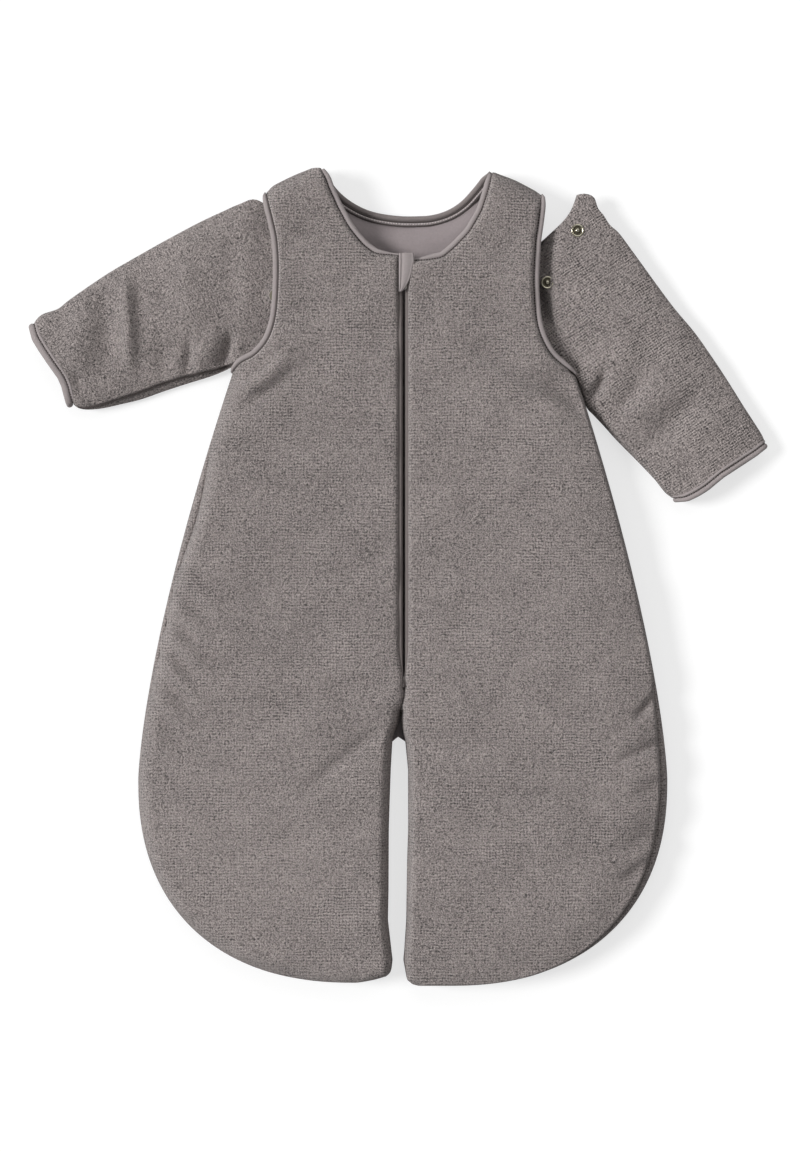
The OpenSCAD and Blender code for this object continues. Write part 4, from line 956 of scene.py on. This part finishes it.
def sleeve_rings(side, inset, count=84, sides=72):
    """Loops round a sleeve from its head to its cuff"""
    share = np.linspace(0, 1, count)
    edges = []
    for line in (SLEEVE_TOP[side], SLEEVE_LOW[side]):
        path = through(line, 1.0)
        at = share * (len(path) - 1)
        edges.append(np.stack([np.interp(at, np.arange(len(path)), path[:, k]) for k in (0, 1)], 1))
    upper, lower = edges
    out = np.clip((share - HEAD_SHARE) / (1 - HEAD_SHARE), 0, 1)
    half = HEAD_HALF + ARM_HALF_MORE * swell(out / ARM_FULL_AT)
    middle = HEAD_MIDDLE - ARM_SINK * swell(out / ARM_SUNK_AT)
    cross = upper - lower
    wide = np.linalg.norm(cross, axis=1) / 2
    centre = (upper + lower) / 2
    # Seam along the lower edge, with the under layer showing below it, and close columns beside it
    run = np.clip((share - SEAM_PEEK_RUN[0]) / SEAM_PEEK_RUN[1], 0, 1)
    peek = SEAM_PEEK_LEAST + SEAM_PEEK[side] * np.sin(np.pi * run)
    turn = np.linspace(0, 2 * np.pi, sides, endpoint=False)
    turn = turn - 0.22 * np.sin(2 * turn)
    by_seam = np.maximum(peek[:, None] + np.array(SEAM_COLUMNS), 0.05)
    turn = np.sort(np.hstack([np.repeat(turn[None], count, 0), np.arccos(by_seam / wide[:, None] - 1)]), 1)
    reach = (wide - inset) / wide
    flat = centre[:, None] + (cross / 2 * reach[:, None])[:, None] * np.cos(turn)[..., None]
    flat[..., 0] -= HEAD_BOW[side] * ramp(share, HEAD_SHARE, 0)[:, None] * np.abs(np.sin(turn)) ** 8
    swing = np.interp(np.cos(turn), *np.array(CUFF_SWING[side]).T) * ramp(share, CUFF_FROM, 1)[:, None]
    flat += swing[..., None] * cuff_way(side)
    z = middle[:, None] + (half - inset)[:, None] * np.sin(turn)
    facing = np.maximum(np.sin(turn), 0) ** 0.5
    outside = ramp(share, *OUTSIDE_FROM)[:, None]
    soft = sum(fold(flat[..., 0], flat[..., 1], *f) for f in SLEEVE_FOLDS[side])
    waves = flat * SLEEVE_WAVES
    soft = SLEEVE_SOFT * soft + SLEEVE_EASE * uneven(waves[..., 0], waves[..., 1], 4 + side)
    z += facing * outside * soft * (1 if inset == 0 else ARM_LINING_SOFT)
    if side == RIGHT:
        # The head sinks into a gap beside the armhole's binding
        armhole = climbing(through(ARMHOLE[side]))
        off = flat[..., 0] - np.interp(flat[..., 1], armhole[:, 1], armhole[:, 0]) - BIND_WIDE - BIND_OFF
        sunk = ramp(off, *SUNK_FROM) * ramp(off, *SUNK_TO) * ramp(flat[..., 1], *SUNK_LEVELS)
        z += sunk * (SUNK_HEAD + (SUNK_HALF if inset == 0 else SUNK_LINING_HALF) * np.sin(turn) - z)
    below = wide[:, None] * (1 + np.cos(turn)) - peek[:, None]
    if side == LEFT:
        # The head dips towards the armhole it is snapped in
        armhole = climbing(through(ARMHOLE[side]))
        off = flat[..., 0] - np.interp(flat[..., 1], armhole[:, 1], armhole[:, 0])
        z -= HEAD_DIP * facing * ramp(off, *DIP_FROM) * ramp(off, *DIP_TO)
    # The under layer lies lower than the seam and falls away to the edge
    step = ramp(below, SEAM_WIDE, -SEAM_WIDE)
    fall = np.clip(1 + 1.4 * np.sin(turn), 0, 1)
    drop = SEAM_STEP[side] * (1 - SEAM_FADE * share[:, None]) + UNDER_SLOPE * np.maximum(-below, 0)
    z -= drop * step * fall * outside
    if inset == 0:
        for su, sy, sz in STUDS[side]:
            near = (flat[..., 0] - su) ** 2 + (flat[..., 1] - sy) ** 2
            spot = np.exp(-(near / STUD_SEAT ** 2) ** 2) * (np.sin(turn) > 0.05)
            z += spot * (sz - z)
    rings = np.stack([side * flat[..., 0], flat[..., 1], np.maximum(z, SLEEVE_LEAST_UP)], 2)
    at_seam = (np.abs(below + 0.6) + 99 * (np.sin(turn) < 0)).argmin(1)
    return rings, np.sin(turn), rings[np.arange(count), at_seam]


SEAM_CORD = 1.9
CUFF_THICK, CUFF_LIP_OFF, CUFF_LIP_WIDE, CUFF_LIP_HIGH = 2.5, 1.5, 1.2, 0.9
CUFF_LEAST = 0.5
hexagon = np.linspace(0, 2 * np.pi, 6, endpoint=False)
for side in (LEFT, RIGHT):
    sleeve_plush = plush("plush_sleeve_" + NAMES[side], SLEEVE_TURN[side], *SLEEVE_KNIT[side])
    outer, rise, seam = sleeve_rings(side, 0)
    inner, _, _ = sleeve_rings(side, ARM_WALL)
    room = 1.4 * np.sqrt(np.abs(rise))
    inner[..., 2] = np.where(rise > 0, np.minimum(inner[..., 2], outer[..., 2] - room),
                             np.maximum(inner[..., 2], outer[..., 2] + 0.6 * room))
    # Out along the plush, round the cuff, back along the lining, round the head
    count = outer.shape[1]
    stacks = [(outer, [0] * count, never, ()),
              (np.concatenate([outer[-1:], inner[::-1]]), [1] * count, never, ()),
              (np.stack([inner[0], outer[0]]), [1] * count, never, ())]
    if side == LEFT:
        # A cord along the seam in the thread with painted shade: partly the seam's thread, partly the shade
        # in its crease
        ring = np.stack([0 * hexagon, np.cos(hexagon), np.sin(hexagon) + 1.2], 1)
        stacks.append(roll_stack(seam[14:-2, None] + SEAM_CORD / 2 * ring, 2))
    sleeve = sew("sleeve_" + NAMES[side], stacks, [sleeve_plush, lining_jersey, thread_painted_shade])
    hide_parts(*[part + NAMES[side] for part in (
        "sleeve_shell_", "sleeve_wadding_", "sleeve_lining_")])
    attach(sleeve, "sleeve_" + NAMES[side])
    # The cuff's band goes round the tube's end, and its inner edge lies stitched on the plush
    end = (outer[-1] + inner[-1]) / 2
    way = np.repeat([[side * cuff_way(side)[0], cuff_way(side)[1], 0]], len(end), 0)
    thick = unit(outer[-1] - inner[-1])
    turn = np.linspace(0, 2 * np.pi, 14, endpoint=False)[None, :, None]
    band = end[:, None] + way[:, None] * CUFF_WIDE[side] / 2 * (np.cos(turn) + 1.05)
    band = band + thick[:, None] * CUFF_THICK * np.sin(turn)
    lip = (outer[-1] - CUFF_LIP_OFF * way)[:, None] + way[:, None] * CUFF_LIP_WIDE * np.cos(turn)
    lip = lip + thick[:, None] * CUFF_LIP_HIGH * np.sin(turn)
    stacks = []
    for roll in (band, lip):
        roll[:, :, 2] = np.maximum(roll[:, :, 2], CUFF_LEAST)
        stacks.append((np.concatenate([roll, roll[:1]]), [0] * 14, never, ()))
    top_half = slice(2, 38)
    # The cuff's stitches take the thread with painted shade
    stacks += stitches((outer[-1] + 0.1 * way + 0.3 * thick)[top_half], way[top_half], thick[top_half])
    cuff = sew("cuff_" + NAMES[side], stacks, [binding_jersey, thread_painted_shade])
    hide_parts("cuff_binding_" + NAMES[side])
    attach(cuff, "sleeve_" + NAMES[side])


# Snaps: pressed brass studs on the sleeve heads, each a pronged ring with a post, and sockets inside the
# fronts. The two studs that lie open on the right sleeve are turned out in full; the rest are kept as the
# solids are.
STUD_RING = [(0.01, 1.95), (0.8, 2.0), (1.4, 1.85), (1.75, 1.35), (1.8, 0.5), (2.1, 0.25), (3.7, 0.2),
             (4.1, 0.6), (4.7, 1.0), (5.3, 0.85), (5.6, 0.35), (5.6, -0.4), (0.01, -0.4)]
# The rings of the hollow between the post and the pronged ring take a near-black brass: painted shade of
# the recess
STUD_DARK = {4, 5, 6}
STUD_SIDES = 40
brass = metal("snap_brass", (0.36, 0.33, 0.24), (0.66, 0.63, 0.52), 0.24)
shaded_brass = metal("snap_painted_shade", (0.05, 0.045, 0.03), (0.12, 0.108, 0.08), 0.45)
stacks = []
for su, sy, sz in STUDS[RIGHT]:
    turn = np.linspace(0, 2 * np.pi, STUD_SIDES, endpoint=False)
    rings = np.stack([np.stack([su + r * np.cos(turn), sy + r * np.sin(turn), 0 * turn + (sz + z)], 1)
                      for r, z in STUD_RING])
    for k in range(len(rings) - 1):
        stacks.append((rings[k:k + 2], [1 if k in STUD_DARK else 0] * STUD_SIDES, never, ()))
    stacks.append((rings[:1], [0] * STUD_SIDES, never, (0,)))
    stacks.append((rings[-1:], [0] * STUD_SIDES, never, (0,)))
studs = sew("snap_studs_open", stacks, [brass, shaded_brass])
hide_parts("snap_studs_right")
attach(studs, "sleeve_right")
for name in ("snap_studs_left", "snap_sockets_left", "snap_sockets_right"):
    finish_node(name, brass)


# Photograph's table: a white floor that keeps the shadow, soft light from the left like a window's, a weak
# broad light from the top and an even white surround. The camera looks straight down.
FLOOR, FLOOR_GLOW = 0.36, 0.67
FLOOR_SIZE, FLOOR_LEVEL = 60, -0.0006
bpy.ops.mesh.primitive_plane_add(size=FLOOR_SIZE, location=(0, 0, FLOOR_LEVEL))
floor = bpy.context.object
floor.name = "floor"
white, tree, shader = blank("floor_white")
yarn = Yarn(tree)
ray = yarn.node("ShaderNodeLightPath", None, None, "Is Camera Ray")
gloss = yarn.node("ShaderNodeLightPath", None, None, "Is Glossy Ray")
glass = yarn.node("ShaderNodeLightPath", None, None, "Is Transmission Ray")
grain = yarn.node("ShaderNodeTexNoise", None, {"Vector": in_mm(yarn), "Scale": 0.02})
tree.links.new(grain.between((FLOOR - 0.01,) * 3, (FLOOR,) * 3).socket, shader.inputs["Base Color"])
shader.inputs["Roughness"].default_value = 1.0
shader.inputs["Specular IOR Level"].default_value = 0.0
seen = (ray + gloss + glass).clamped()
tree.links.new(seen.between((0, 0, 0), (1, 1, 1)).socket, shader.inputs["Emission Color"])
shader.inputs["Emission Strength"].default_value = FLOOR_GLOW
floor.data.materials.append(white)

SURROUND = 0.3
world = bpy.data.worlds.new("surround")
bpy.context.scene.world = world
world.use_nodes = True
world.node_tree.nodes["Background"].inputs["Color"].default_value = (1, 1, 1, 1)
world.node_tree.nodes["Background"].inputs["Strength"].default_value = SURROUND
# Name, strength, how broad in degrees, which way the light goes
LAMPS = [("window", 2.9, 20, (0.97, -0.06, -0.88)), ("fill", 0.8, 60, (-0.1, -0.9, -0.8))]
for name, energy, broad, way in LAMPS:
    light = bpy.data.lights.new(name, "SUN")
    light.energy = energy
    light.angle = math.radians(broad)
    lamp = bpy.data.objects.new(name, light)
    bpy.context.collection.objects.link(lamp)
    lamp.rotation_euler = Vector(way).to_track_quat("-Z", "Y").to_euler()

CAMERA_UP, MID_HEIGHT = 4.0, 0.019
CAMERA_AT = (-0.0034, 0.0009)
PHOTO_HIGH, MM_PER_PIXEL = 1152, 0.857
SENSOR = 36
eye = bpy.data.cameras.new("eye")
eye.sensor_width = SENSOR
eye.lens = SENSOR * (CAMERA_UP - MID_HEIGHT) / (PHOTO_HIGH * MM_PER_PIXEL * MM)
camera = bpy.data.objects.new("eye", eye)
camera.location = (*CAMERA_AT, CAMERA_UP)
bpy.context.collection.objects.link(camera)
bpy.context.scene.camera = camera
bpy.context.scene.view_settings.view_transform = "Standard"
